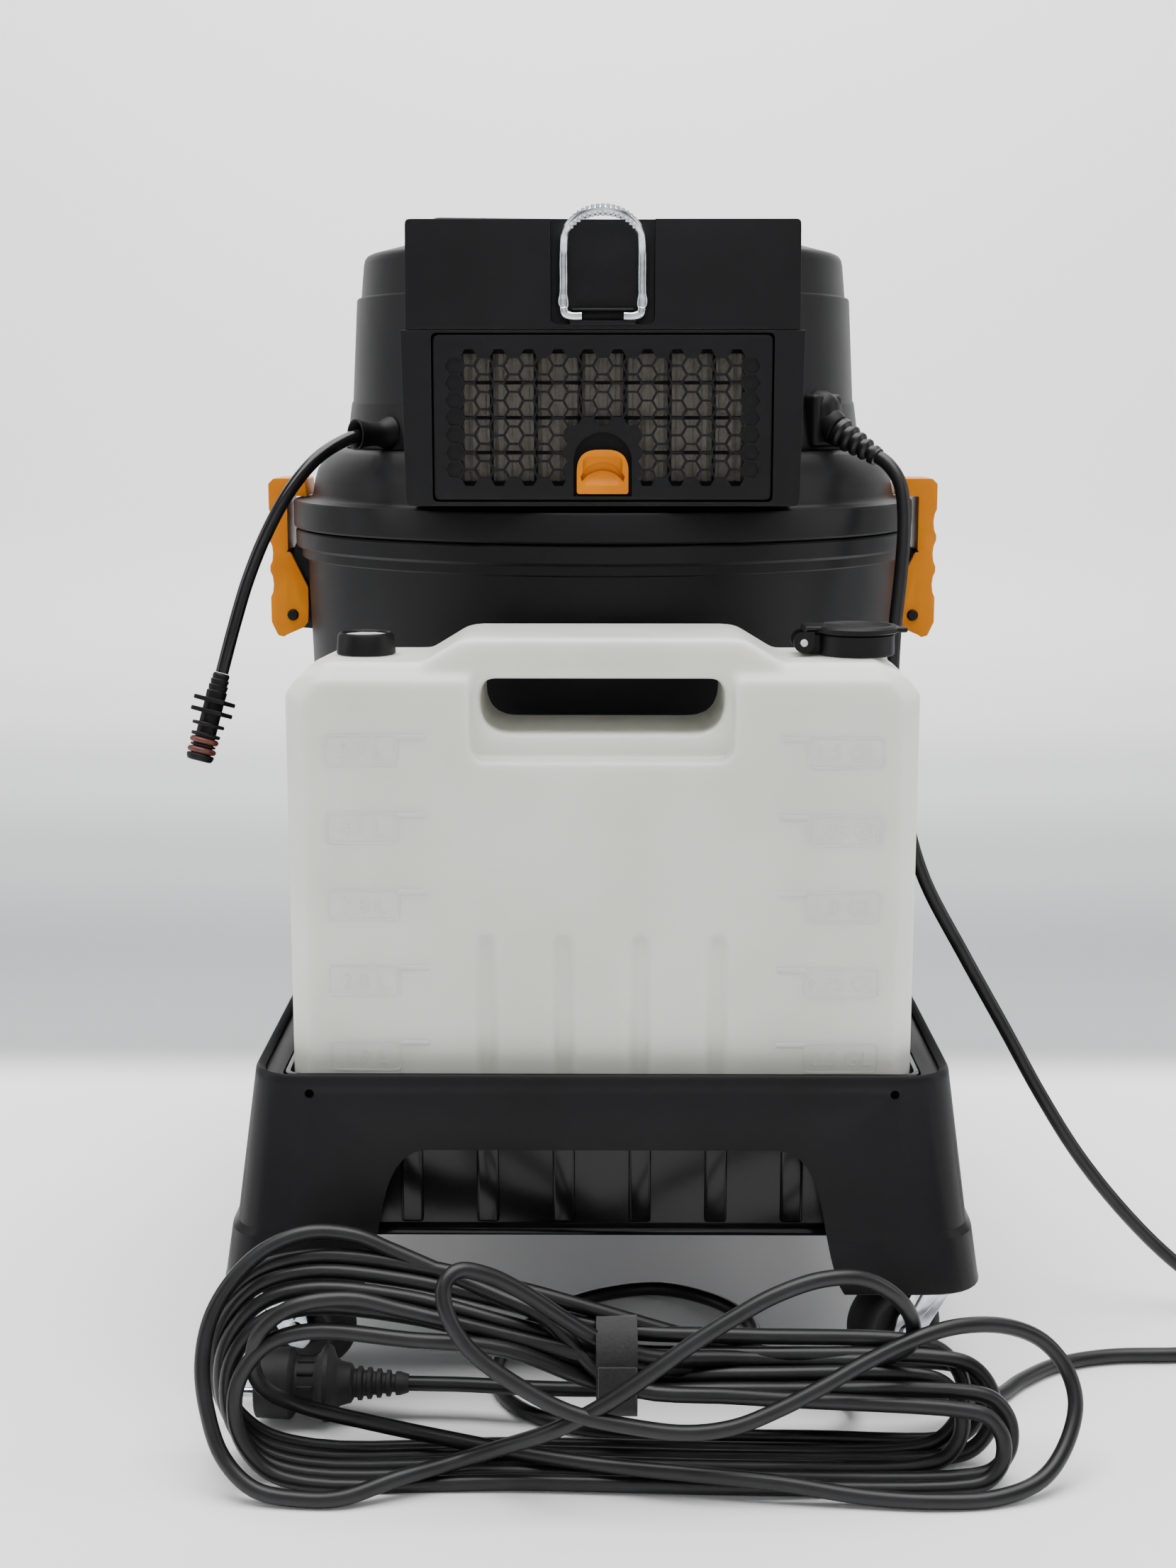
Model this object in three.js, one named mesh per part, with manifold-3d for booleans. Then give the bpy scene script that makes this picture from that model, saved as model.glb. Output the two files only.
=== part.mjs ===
// Spray-extraction carpet cleaner: a drum on a wheeled dolly, a lift-out solution tank
// behind it, and a suction head with its pump, fan, filter box and mains lead on top.
// Millimetres, +Z up, the floor at z = 0. The rear of the machine, with the tank and the
// filter door, faces -Y. +X is on the right of somebody looking at the rear.
import * as THREE from "three";
import { mergeVertices } from "three/addons/utils/BufferGeometryUtils.js";
import Module from "manifold-3d";

const wasm = await Module();
wasm.setup();

// ---------------------------------------------------------------- driving dimensions
const GAP = 0.3; // between pieces that touch
const WALL = 3; // moulded shells
const ROUND = 40; // facets round the large turned shells

// solution tank
const TANK_HALF = 152;
const TANK_REAR = -204.5;
const TANK_T = 80.5; // thickness, rear to front
const TANK_BOTTOM_Z = 103;
const TANK_DECK_Z = 368;
const TANK_SHOULDER = 12; // chamfer between side and deck
const TANK_EDGE = 8; // bevel round the front and rear faces
const TANK_WALL = 2.5;
const GRIP_HALF = TANK_HALF - 93; // leaves room on the deck for the two caps
const GRIP_BOTTOM_Z = TANK_DECK_Z - 35;
const GRIP_TOP_Z = TANK_DECK_Z - 9;
const GRIP_ROOF_Z = TANK_DECK_Z + 11; // top of the carrying bar
const GRIP_FRAME = 5; // recessed border round the hand hole
const GRIP_FRAME_DEPTH = 9;
const OUTLET_X = 36 - TANK_HALF;
const OUTLET_R = 14.5;
const FILLER_X = TANK_HALF - 28;
const FILLER_R = 19;
const CAP_H = 9;

// drum
const DRUM_TOP_Z = 418;
const DRUM_BOTTOM_Z = 110;
const DRUM_R = 172.5; // just under the rim
const DRUM_DRAFT = 10; // how much narrower the bottom is
const RIM_R = DRUM_R + 6.5;
const DRUM_Y = TANK_REAR + TANK_T + 2.5 + RIM_R; // drum axis, clear of the tank
const RIM_H = 10;
const STEP_R = DRUM_R + 3.5;
const STEP_H = 6;
const GASKET_T = 4;

// dolly
const LIP_Z = 171; // top edge of the skirt
const LIP_HALF = DRUM_R - 3.5; // half width at the lip
const LIP_REAR = TANK_REAR - 16;
const LIP_FRONT = DRUM_Y + DRUM_R - 9.5;
const WHEEL_R = 24;
const CASTER_FORK_Z = 2 * WHEEL_R + 10; // top of the caster forks
const SKIRT_LEVELS = [[CASTER_FORK_Z + 8, 17], [92, 13], [95, 10.5], [LIP_Z, 0]]; // height, flare out
const SKIRT_CORNER = 26;
const SKIRT_NOSE = 70; // plan radius of the two front corners
const SKIRT_WALL = 4;
const DECK_Z = 163; // underside of the deck
const DECK_T = 4;
const ARCH_TOP_Z = 135;
const ARCH_HALF = 96; // half width of the rear arch at its top
const ARCH_FOOT = 118; // half width of the rear arch at the floor

// pocket that holds the tank
const POCKET_CLEAR = 1.3;
const POCKET_WALL = 2.5;
const POCKET_FLOOR_Z = 86;
const POCKET_RIBS = 6;
const POCKET_RIB_PITCH = 37.3;
const POCKET_RIB_W = 11;

// casters
const CASTER_X = LIP_HALF - 1;
const CASTER_REAR_Y = LIP_REAR + 53;
const CASTER_FRONT_X = LIP_HALF - 19;
const CASTER_FRONT_Y = LIP_FRONT - 55.5;
const CASTER_TRAIL = 20;
const CASTER_TURN = 25; // degrees that each wheel trails to the rear of straight in
const WHEEL_W = 20;
const STEM_R = 4.5;

// suction head
const LID_Z = DRUM_TOP_Z + 1;
const LID_R = RIM_R + 1;
const LID_H = 15.5;
const COVER_Z = 464;
const COVER_R = LID_R - 31;
const COVER_STEP_Z = 547;
const COVER_STEP_R = COVER_R - 7.7;
const COVER_TOP_Z = 577;
const FLOOR_Z = 430; // the head's floor plate
const FLOOR_T = 4;
const FLOOR_HOLE_R = 60;

// filter box
const BOX_REAR = DRUM_Y - COVER_R - 29;
const BOX_HALF = 101;
const BOX_Z = 438;
const BOX_SPLIT_Z = 525.5;
const UPPER_HALF = 98;
const UPPER_TOP_Z = 579;
const DOOR_HALF = 85;
const DOOR_Z = 441;
const DOOR_H = 82;
const DOOR_T = 6;
const FILTER_ROOM = DOOR_HALF - 3; // half width of the space for the filter
const FILTER_DEEP = 27; // how far in that space reaches
const TAB_HALF = 13;
const TAB_H = 22;
const TAB_POCKET_DEPTH = 7.5;

// hose hook
const HOOK_HALF = 19.5;
const HOOK_WIRE_R = 2.5;
const HOOK_PIVOT_Z = 532;
const HOOK_LEG = 35;
const HOOK_LEAN = 38; // degrees that the bow leans out from its legs

// over-centre latches
const PIN_X = RIM_R + 2;
const PIN_Z = DRUM_TOP_Z - 51;
const PIN_R = 3;
const LATCH_W = 40;
const LATCH_CHEEK = 4; // side walls of the latch, outside the ears
const EAR_R = 4.4; // rounded end of an ear about the pin
const LATCH_OUT = 12.6; // outer face beyond the pin
const LATCH_TOP_Z = 446;
const EAR_T = 4;

// suction parts inside the head
const MOTOR_R = 38;
const MOTOR_H = 68;
const FAN_R = 44;
const FAN_H = 14;
const SHAFT_R = 4;
const CAGE_R = 28;
const CAGE_H = 74;
const FLOAT_R = 19;

// ports
const INLET_R = 23;
const INLET_Z = 330;
const INLET_IN = DRUM_R - 30.5; // ends of the inlet sleeve, from the drum axis
const INLET_OUT = RIM_R;
const PORT_ANGLE = 218.5; // degrees about the drum axis: solution hose port
const PORT_Z = 472.5;
const CORD_ANGLE = 324.2; // mains lead boss
const CORD_Z = 481;
const CORD_DROOP = 29; // degrees that the strain relief points down
const HOSE_R = 3.5;
const CORD_R = 3.75;

// ---------------------------------------------------------------- colours and finishes
const finish = (color, roughness, metalness = 0) => ({ color, roughness, metalness });
const SATIN_BLACK = finish(0x232325, 0.55);
const GLOSS_BLACK = finish(0x121214, 0.2);
const RUBBER = finish(0x1a1a1a, 0.8);
const ORANGE = finish(0xf5a31a, 0.4);
const HDPE = finish(0xe6e6e2, 0.5);
const ZINC = finish(0xc9ccd0, 0.3, 1);
const PAPER = finish(0x8a8474, 0.9);
const PVC = finish(0x161618, 0.5);

const machine = new THREE.Group();
machine.name = "carpet_cleaner";

// ---------------------------------------------------------------- solid helpers
function solid(geometry) {
  const plain = geometry.clone();
  plain.deleteAttribute("normal");
  plain.deleteAttribute("uv");
  const merged = mergeVertices(plain, 1e-4);
  const mesh = new wasm.Mesh({
    numProp: 3,
    vertProperties: new Float32Array(merged.attributes.position.array),
    triVerts: new Uint32Array(merged.index.array),
  });
  return new wasm.Manifold(mesh);
}

function toGeometry(manifold) {
  const mesh = manifold.getMesh();
  const geometry = new THREE.BufferGeometry();
  geometry.setAttribute("position", new THREE.BufferAttribute(mesh.vertProperties, 3));
  geometry.setIndex(new THREE.BufferAttribute(mesh.triVerts, 1));
  return geometry;
}

function join(...solids) {
  return solids.reduce((all, one) => all.add(one));
}

function place(name, shape, look, parent = machine) {
  const geometry = shape.isBufferGeometry ? shape : toGeometry(shape);
  const mesh = new THREE.Mesh(geometry, new THREE.MeshStandardMaterial(look));
  mesh.name = name;
  parent.add(mesh);
  return mesh;
}

function box(x0, x1, y0, y1, z0, z1) {
  const geometry = new THREE.BoxGeometry(x1 - x0, y1 - y0, z1 - z0);
  return solid(geometry.translate((x0 + x1) / 2, (y0 + y1) / 2, (z0 + z1) / 2));
}

// a revolved profile about a vertical axis; profile is a list of [radius, height]
function turned(profile, sides = 32, x = 0, y = 0) {
  const points = profile.map(([r, z]) => new THREE.Vector2(r, z));
  const first = profile[0];
  const last = profile[profile.length - 1];
  if (first[0] > 0 || last[0] > 0) points.push(points[0].clone());
  const geometry = new THREE.LatheGeometry(points, sides).rotateX(Math.PI / 2);
  const made = solid(geometry.translate(x, y, 0));
  return made.volume() < 0 ? solid(flipped(geometry)) : made;
}

// a lathe drawn from the top down comes out inside out, so its faces are turned round
function flipped(geometry) {
  const index = geometry.index.array;
  for (let i = 0; i < index.length; i += 3) {
    [index[i], index[i + 1]] = [index[i + 1], index[i]];
  }
  return geometry;
}

function rod(r, x, y, z0, z1, sides = 16) {
  return turned([[0, z0], [r, z0], [r, z1], [0, z1]], sides, x, y);
}

function rodAlong(axis, r, from, to, sides = 16) {
  const length = to - from;
  const geometry = new THREE.CylinderGeometry(r, r, length, sides);
  if (axis === "x") return solid(geometry.rotateZ(-Math.PI / 2).translate(from + length / 2, 0, 0));
  return solid(geometry.translate(0, from + length / 2, 0));
}

function roundedRect(x0, x1, y0, y1, radii) {
  const [a, b, c, d] = Array.isArray(radii) ? radii : [radii, radii, radii, radii];
  const shape = new THREE.Shape();
  shape.moveTo(x0 + a, y0);
  shape.lineTo(x1 - b, y0);
  shape.absarc(x1 - b, y0 + b, b, -Math.PI / 2, 0, false);
  shape.lineTo(x1, y1 - c);
  shape.absarc(x1 - c, y1 - c, c, 0, Math.PI / 2, false);
  shape.lineTo(x0 + d, y1);
  shape.absarc(x0 + d, y1 - d, d, Math.PI / 2, Math.PI, false);
  shape.lineTo(x0, y0 + a);
  shape.absarc(x0 + a, y0 + a, a, Math.PI, Math.PI * 1.5, false);
  return shape;
}

function outline(points) {
  return new THREE.Shape(points.map(([x, y]) => new THREE.Vector2(x, y)));
}

function extruded(shape, depth, options = {}) {
  return new THREE.ExtrudeGeometry(shape, {
    depth, bevelEnabled: false, curveSegments: 6, ...options,
  });
}

// plan outline raised through levels of [height, outward offset]
function flared(shape, levels, halfX, halfY, midY) {
  const steps = levels.length - 1;
  const geometry = extruded(shape, 1, { steps });
  const position = geometry.attributes.position;
  for (let i = 0; i < position.count; i += 1) {
    const [z, out] = levels[Math.round(position.getZ(i) * steps)];
    const x = position.getX(i) * (1 + out / halfX);
    const y = midY + (position.getY(i) - midY) * (1 + out / halfY);
    position.setXYZ(i, x, y, z);
  }
  return solid(geometry);
}

// shape drawn in (x, z), pushed from y0 to y1
function alongY(shape, y0, y1, options = {}) {
  const geometry = extruded(shape, y1 - y0, options);
  return solid(geometry.rotateX(Math.PI / 2).translate(0, y1, 0));
}

// shape drawn in (y, z), pushed from x0 to x1
function alongX(shape, x0, x1) {
  const turn = new THREE.Matrix4().set(0, 0, 1, x0, 1, 0, 0, 0, 0, 1, 0, 0, 0, 0, 0, 1);
  return solid(extruded(shape, x1 - x0).applyMatrix4(turn));
}

// drawn along +X from the drum axis, then turned about the drum axis and raised
function radial(made, degrees, z) {
  const turn = new THREE.Matrix4().makeRotationZ(THREE.MathUtils.degToRad(degrees));
  turn.setPosition(0, DRUM_Y, z);
  return made.transform(turn.elements);
}

function tube(points, radius, steps, sides) {
  const route = new THREE.CatmullRomCurve3(points.map((p) => new THREE.Vector3(...p)));
  const section = new THREE.Shape();
  section.absarc(0, 0, radius, 0, Math.PI * 2, false);
  return new THREE.ExtrudeGeometry(section, {
    steps, extrudePath: route, bevelEnabled: false, curveSegments: sides / 2,
  });
}

// ---------------------------------------------------------------- dolly
function skirtBody(inset) {
  const half = LIP_HALF - inset;
  const rear = LIP_REAR + inset;
  const front = LIP_FRONT - inset;
  const corner = SKIRT_CORNER - inset;
  const nose = SKIRT_NOSE - inset;
  const plan = roundedRect(-half, half, rear, front, [corner, corner, nose, nose]);
  const mid = (rear + front) / 2;
  return flared(plan, SKIRT_LEVELS, half, (front - rear) / 2, mid);
}

function archCut() {
  const side = new THREE.Shape();
  side.moveTo(-ARCH_FOOT, SKIRT_LEVELS[0][0] - 1);
  side.bezierCurveTo(-ARCH_FOOT + 12, 82, -ARCH_HALF - 12, ARCH_TOP_Z, -ARCH_HALF, ARCH_TOP_Z);
  side.lineTo(ARCH_HALF, ARCH_TOP_Z);
  side.bezierCurveTo(ARCH_HALF + 12, ARCH_TOP_Z, ARCH_FOOT - 12, 82, ARCH_FOOT, SKIRT_LEVELS[0][0] - 1);
  return side;
}

const casterSpots = [
  ["rear_right", CASTER_X, CASTER_REAR_Y],
  ["rear_left", -CASTER_X, CASTER_REAR_Y],
  ["front_right", CASTER_FRONT_X, CASTER_FRONT_Y],
  ["front_left", -CASTER_FRONT_X, CASTER_FRONT_Y],
];
const casterPostZ = CASTER_FORK_Z + 8; // foot of the posts that take the caster stems
const CASTER_POST_R = 9;
const CASTER_POST_TOP_Z = 104;

const pocketHalf = TANK_HALF + POCKET_CLEAR + POCKET_WALL;
const pocketRear = TANK_REAR - POCKET_CLEAR - POCKET_WALL;
const pocketFront = TANK_REAR + TANK_T + POCKET_CLEAR + POCKET_WALL;
const SEAT_CLEAR = 1.5;
const seatR = DRUM_R - DRUM_DRAFT + DRUM_DRAFT * ((DECK_Z - DRUM_BOTTOM_Z) / 300) + SEAT_CLEAR;

function dolly() {
  const bottom = SKIRT_LEVELS[0][0];
  let shell = skirtBody(0).subtract(skirtBody(SKIRT_WALL));
  const deck = skirtBody(SKIRT_WALL / 2).intersect(box(
    -LIP_HALF - 60, LIP_HALF + 60, LIP_REAR - 60, LIP_FRONT + 60, DECK_Z, DECK_Z + DECK_T,
  ));
  shell = join(shell, deck);
  const seatFloor = DRUM_BOTTOM_Z - GAP;
  const seat = turned([
    [0, seatFloor - WALL], [seatR + WALL, seatFloor - WALL], [seatR + WALL, DECK_Z + DECK_T],
    [seatR, DECK_Z + DECK_T], [seatR, seatFloor], [0, seatFloor],
  ], ROUND, 0, DRUM_Y);
  shell = shell.subtract(rod(seatR + WALL / 2, 0, DRUM_Y, seatFloor, LIP_Z, ROUND));
  shell = join(shell, seat);
  for (const [, x, y] of casterSpots) {
    const reach = Math.sign(x) * (CASTER_X + 7.5);
    const rib = box(Math.min(x, reach), Math.max(x, reach), y - 5, y + 5, casterPostZ + 4, CASTER_POST_TOP_Z);
    shell = join(shell, rod(CASTER_POST_R, x, y, casterPostZ, CASTER_POST_TOP_Z), rib);
    shell = shell.subtract(rod(STEM_R + GAP, x, y, casterPostZ - 5, CASTER_POST_TOP_Z - 8));
  }
  const pocketHole = roundedRect(
    -pocketHalf - GAP, pocketHalf + GAP, pocketRear - GAP, pocketFront + GAP, 9,
  );
  shell = shell.subtract(solid(extruded(pocketHole, 200).translate(0, 0, DECK_Z - 130)));
  shell = shell.subtract(alongY(archCut(), LIP_REAR - 30, LIP_REAR + 15));
  const sideArch = roundedRect(CASTER_REAR_Y + 62.5, CASTER_FRONT_Y - 53, bottom - 40, bottom + 34, 30);
  return shell.subtract(alongX(sideArch, -LIP_HALF - 40, LIP_HALF + 40));
}
place("dolly_skirt", dolly(), SATIN_BLACK);

function tankPocket() {
  const inner = POCKET_WALL;
  const body = roundedRect(-pocketHalf, pocketHalf, pocketRear, pocketFront, 9);
  const well = roundedRect(
    -pocketHalf + inner, pocketHalf - inner, pocketRear + inner, pocketFront - inner, 7,
  );
  const top = DECK_Z + DECK_T;
  const floor = TANK_BOTTOM_Z - GAP;
  let pocket = solid(extruded(body, top - POCKET_FLOOR_Z).translate(0, 0, POCKET_FLOOR_Z));
  pocket = pocket.subtract(solid(extruded(well, 100).translate(0, 0, floor)));
  const under = box(
    -pocketHalf + 6, pocketHalf - 6, pocketRear + 6, pocketFront - 6, POCKET_FLOOR_Z - 1, floor - WALL,
  );
  pocket = pocket.subtract(under);
  for (let i = 0; i < POCKET_RIBS; i += 1) {
    const x = (i - (POCKET_RIBS - 1) / 2) * POCKET_RIB_PITCH;
    const half = POCKET_RIB_W / 2;
    pocket = pocket.add(box(x - half, x + half, pocketRear - 2.5, pocketRear + 1, 92, 150));
  }
  return pocket.add(box(-pocketHalf + 12, pocketHalf - 12, pocketRear - 4, pocketRear + 1, 86, 90));
}
place("tank_pocket", tankPocket(), GLOSS_BLACK);

// ---------------------------------------------------------------- casters
function caster(name, x, y) {
  const swivel = new THREE.Group();
  swivel.position.set(x, y, 0);
  const turn = x > 0 ? 180 + CASTER_TURN : -CASTER_TURN;
  swivel.rotation.z = THREE.MathUtils.degToRad(turn);
  machine.add(swivel);
  const legIn = WHEEL_W / 2 + 1;
  const legT = 2;
  const leg = (side) => {
    const near = side > 0 ? legIn : -legIn - legT;
    const shape = outline([
      [-11, CASTER_FORK_Z], [-11, CASTER_FORK_Z - 8], [CASTER_TRAIL - 8, WHEEL_R - 4],
      [CASTER_TRAIL - 4, WHEEL_R - 8.5], [CASTER_TRAIL + 3, WHEEL_R - 8.5],
      [CASTER_TRAIL + 8, WHEEL_R - 3], [CASTER_TRAIL + 5, WHEEL_R + 8],
      [12, CASTER_FORK_Z - 7], [12, CASTER_FORK_Z],
    ]);
    return alongY(shape, near, near + legT);
  };
  const axleHole = rodAlong("y", 3, -WHEEL_W, WHEEL_W).translate([CASTER_TRAIL, 0, WHEEL_R]);
  const top = box(-13, 13, -legIn - legT, legIn + legT, CASTER_FORK_Z - 3.5, CASTER_FORK_Z);
  const stemTop = CASTER_POST_TOP_Z - 12;
  const stem = join(
    rod(10, 0, 0, CASTER_FORK_Z - 1, casterPostZ - 0.4), rod(STEM_R, 0, 0, casterPostZ - 2, stemTop),
  );
  const fork = join(leg(1), leg(-1), top, stem).subtract(axleHole);
  place(`caster_fork_${name}`, fork, ZINC, swivel);
  const half = WHEEL_W / 2;
  const round = 4;
  const tyre = turned([
    [3.4, -half], [WHEEL_R - round, -half], [WHEEL_R - 1.2, -half + 1.2], [WHEEL_R, -half + round],
    [WHEEL_R, half - round], [WHEEL_R - 1.2, half - 1.2], [WHEEL_R - round, half], [3.4, half],
  ], 20);
  const wheel = place(`caster_wheel_${name}`, tyre, RUBBER, swivel);
  wheel.rotation.x = Math.PI / 2;
  wheel.position.set(CASTER_TRAIL, 0, WHEEL_R);
  const head = half + legT + 1.6;
  const axle = join(
    rodAlong("y", 2.7, -head - 1, head + 1, 12),
    rodAlong("y", 5, half + legT + 1 + GAP, head + 2, 12),
    rodAlong("y", 5, -head - 2, -half - legT - 1 - GAP, 12),
  );
  place(`caster_axle_${name}`, axle, ZINC, swivel).position.set(CASTER_TRAIL, 0, WHEEL_R);
}
for (const [name, x, y] of casterSpots) caster(name, x, y);

// ---------------------------------------------------------------- drum
const drumFoot = DRUM_R - DRUM_DRAFT;
function drum() {
  const rimZ = DRUM_TOP_Z - RIM_H;
  const stepZ = rimZ - STEP_H;
  const ledge = DRUM_TOP_Z - GASKET_T - GAP;
  let made = turned([
    [0, DRUM_BOTTOM_Z], [drumFoot - 8, DRUM_BOTTOM_Z], [drumFoot, DRUM_BOTTOM_Z + 8],
    [DRUM_R, stepZ], [STEP_R, stepZ], [STEP_R, rimZ], [RIM_R, rimZ], [RIM_R, DRUM_TOP_Z],
    [RIM_R - 5, DRUM_TOP_Z], [RIM_R - 5, ledge], [DRUM_R - WALL, ledge],
    [drumFoot - WALL, DRUM_BOTTOM_Z + 8], [drumFoot - 8, DRUM_BOTTOM_Z + WALL], [0, DRUM_BOTTOM_Z + WALL],
  ], ROUND, 0, DRUM_Y);
  const earOut = LATCH_W / 2 - LATCH_CHEEK - GAP;
  const earRoot = DRUM_R - 8.5;
  for (const side of [-1, 1]) {
    const ear = alongY(outline([
      [earRoot, PIN_Z - 9], [PIN_X - 5, PIN_Z - 8], [PIN_X, PIN_Z - EAR_R + 0.2], [PIN_X + EAR_R, PIN_Z],
      [PIN_X + EAR_R, PIN_Z + 20], [PIN_X - 2.2, rimZ + 1], [earRoot, rimZ + 1],
    ]), 0, EAR_T).add(rodAlong("y", EAR_R, 0, EAR_T, 16).translate([PIN_X, 0, PIN_Z]));
    const placed = side > 0 ? ear : ear.mirror([1, 0, 0]);
    for (const y of [-earOut, earOut - EAR_T]) {
      made = made.add(placed.translate([0, DRUM_Y + y, 0]));
    }
    const bore = rodAlong("y", PIN_R + GAP, -LATCH_W, LATCH_W, 12);
    made = made.subtract(bore.translate([side * PIN_X, DRUM_Y, PIN_Z]));
    const inside = drumFoot - WALL + 2;
    made = made.subtract(rod(inside, 0, DRUM_Y, DRUM_BOTTOM_Z + 20, 300, ROUND));
    made = made.subtract(rod(DRUM_R - WALL - 2.4, 0, DRUM_Y, 300, 412, ROUND));
  }
  const hole = rodAlong("y", INLET_R + GAP, INLET_IN - 2, INLET_OUT + 11, 24).translate([0, DRUM_Y, INLET_Z]);
  return made.subtract(hole);
}
place("drum", drum(), SATIN_BLACK);

const gasketZ = DRUM_TOP_Z - GASKET_T;
place("drum_gasket", turned([
  [DRUM_R - WALL + GAP, gasketZ], [RIM_R - 5 - GAP, gasketZ],
  [RIM_R - 5 - GAP, LID_Z - GAP], [DRUM_R - WALL + GAP, LID_Z - GAP],
], ROUND, 0, DRUM_Y), RUBBER);

function hoseInlet() {
  const inner = INLET_R - 3.5;
  const sleeve = rodAlong("y", INLET_R, INLET_IN, INLET_OUT, 24);
  const collar = rodAlong("y", INLET_R + 6, INLET_OUT - 5.5, INLET_OUT - 2.5, 24);
  const bore = rodAlong("y", inner, INLET_IN - 1, INLET_OUT + 1, 24);
  return join(sleeve, collar).subtract(bore).translate([0, DRUM_Y, INLET_Z]);
}
place("vacuum_hose_inlet", hoseInlet(), SATIN_BLACK);

// ---------------------------------------------------------------- side latches
function latch(side) {
  const out = LATCH_OUT;
  const top = LATCH_TOP_Z - PIN_Z;
  const hook = LID_Z + LID_H + 1.2 - PIN_Z;
  const inner = EAR_R + 0.4;
  const shape = new THREE.Shape();
  shape.moveTo(inner, -13);
  shape.lineTo(9, -12);
  shape.lineTo(out, -4);
  for (const z of [18, 36, 54]) {
    shape.lineTo(out, z - 7);
    shape.quadraticCurveTo(out - 3, z, out, z + 7);
  }
  shape.lineTo(out, top - 3);
  shape.lineTo(out - 3, top);
  shape.lineTo(-9, top);
  shape.lineTo(-9.5, hook);
  shape.lineTo(2, hook);
  shape.lineTo(2, 38);
  shape.lineTo(inner, 34);
  let made = alongY(shape, -LATCH_W / 2, LATCH_W / 2, { curveSegments: 4 });
  const cheek = outline([
    [-6, -7.4], [0, -10], [inner + 1, -12.5], [out - 4, -6], [out - 4, 36], [1, 37], [-9.2, 16],
    [-9.2, 3], [-8.8, -4],
  ]);
  for (const y of [-LATCH_W / 2, LATCH_W / 2 - LATCH_CHEEK]) {
    made = made.add(alongY(cheek, y, y + LATCH_CHEEK));
  }
  made = made.subtract(rodAlong("y", PIN_R + GAP, -LATCH_W, LATCH_W, 12));
  if (side < 0) made = made.mirror([1, 0, 0]);
  return made.translate([side * PIN_X, DRUM_Y, PIN_Z]);
}
for (const [name, side] of [["right", 1], ["left", -1]]) {
  place(`side_latch_${name}`, latch(side), ORANGE);
  const pin = rodAlong("y", PIN_R, -LATCH_W / 2 - 1.5, LATCH_W / 2 + 1.5, 12);
  place(`latch_pin_${name}`, pin.translate([side * PIN_X, DRUM_Y, PIN_Z]), SATIN_BLACK);
}

// ---------------------------------------------------------------- head shells
function coverOuter(extra) {
  const top = COVER_TOP_Z + extra;
  return [
    [0, COVER_Z - extra], [COVER_R + extra, COVER_Z - extra], [COVER_R - 3.6 + extra, 489],
    [COVER_STEP_R + extra, COVER_STEP_Z], [COVER_STEP_R - 2.3 + extra, COVER_STEP_Z],
    [COVER_STEP_R - 4.8 + extra, top - 7], [COVER_STEP_R - 11 + extra, top], [0, top],
  ];
}
const coverKeepOut = turned(coverOuter(GAP), ROUND, 0, DRUM_Y);

function housingOuter(extra) {
  return [
    [LID_R + extra, LID_Z], [LID_R + extra, LID_Z + LID_H + extra],
    [LID_R - 10 + extra, LID_Z + LID_H + 1 + extra], [LID_R - 11.3 + extra, 438 + extra],
    [LID_R - 14 + extra, 451.5 + extra], [LID_R - 23 + extra, COVER_Z - 1 + extra],
    [COVER_R + 1, COVER_Z - GAP + extra],
  ];
}
const housingKeepOut = turned(
  [[0, LID_Z], ...housingOuter(GAP), [0, COVER_Z]], ROUND, 0, DRUM_Y,
);

function lowerHousing() {
  const shell = turned([
    [LID_R - 18, LID_Z], ...housingOuter(0), [COVER_R - WALL, COVER_Z - GAP],
    [COVER_R - WALL, COVER_Z - WALL], [LID_R - 26, COVER_Z - WALL - 1],
    [LID_R - 17, 448], [LID_R - 15, FLOOR_Z + FLOOR_T],
    [FLOOR_HOLE_R, FLOOR_Z + FLOOR_T], [FLOOR_HOLE_R, FLOOR_Z],
    [LID_R - 18, FLOOR_Z],
  ], ROUND, 0, DRUM_Y);
  return shell.subtract(box(
    -FILTER_ROOM - 2, FILTER_ROOM + 2, BOX_REAR, BOX_REAR + FILTER_DEEP, DOOR_Z + 1, COVER_Z + 6,
  ));
}
place("head_lower_housing", lowerHousing(), SATIN_BLACK);

const WELL = { x0: -74, x1: 60, y: 44, z: 552 }; // hand well under the carry handle
function upperCover() {
  const inner = coverOuter(-WALL).map(([r, z]) => [r, z]);
  inner[0] = [0, COVER_Z - 1];
  inner[1] = [COVER_R - WALL, COVER_Z - 1];
  let made = turned(coverOuter(0), ROUND, 0, DRUM_Y).subtract(turned(inner, ROUND, 0, DRUM_Y));
  const wall = WALL;
  const wellOut = roundedRect(
    WELL.x0 - wall, WELL.x1 + wall, DRUM_Y - WELL.y - wall, DRUM_Y + WELL.y + wall, 15,
  );
  const wellIn = roundedRect(WELL.x0, WELL.x1, DRUM_Y - WELL.y, DRUM_Y + WELL.y, 12);
  made = made.add(solid(extruded(wellOut, COVER_TOP_Z - 1 - WELL.z + wall).translate(0, 0, WELL.z - wall)));
  made = made.subtract(solid(extruded(wellIn, 60).translate(0, 0, WELL.z)));
  const vent = roundedRect(-60, 60, 452, 512, 6);
  made = made.subtract(alongY(vent, DRUM_Y - COVER_R - 10, DRUM_Y - 100));
  const bore = rodAlong("x", 4.6, 100, 160, 12);
  made = made.subtract(radial(bore, PORT_ANGLE, PORT_Z)).subtract(radial(bore, CORD_ANGLE, CORD_Z));
  return made;
}
place("head_upper_cover", upperCover(), SATIN_BLACK);

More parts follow.
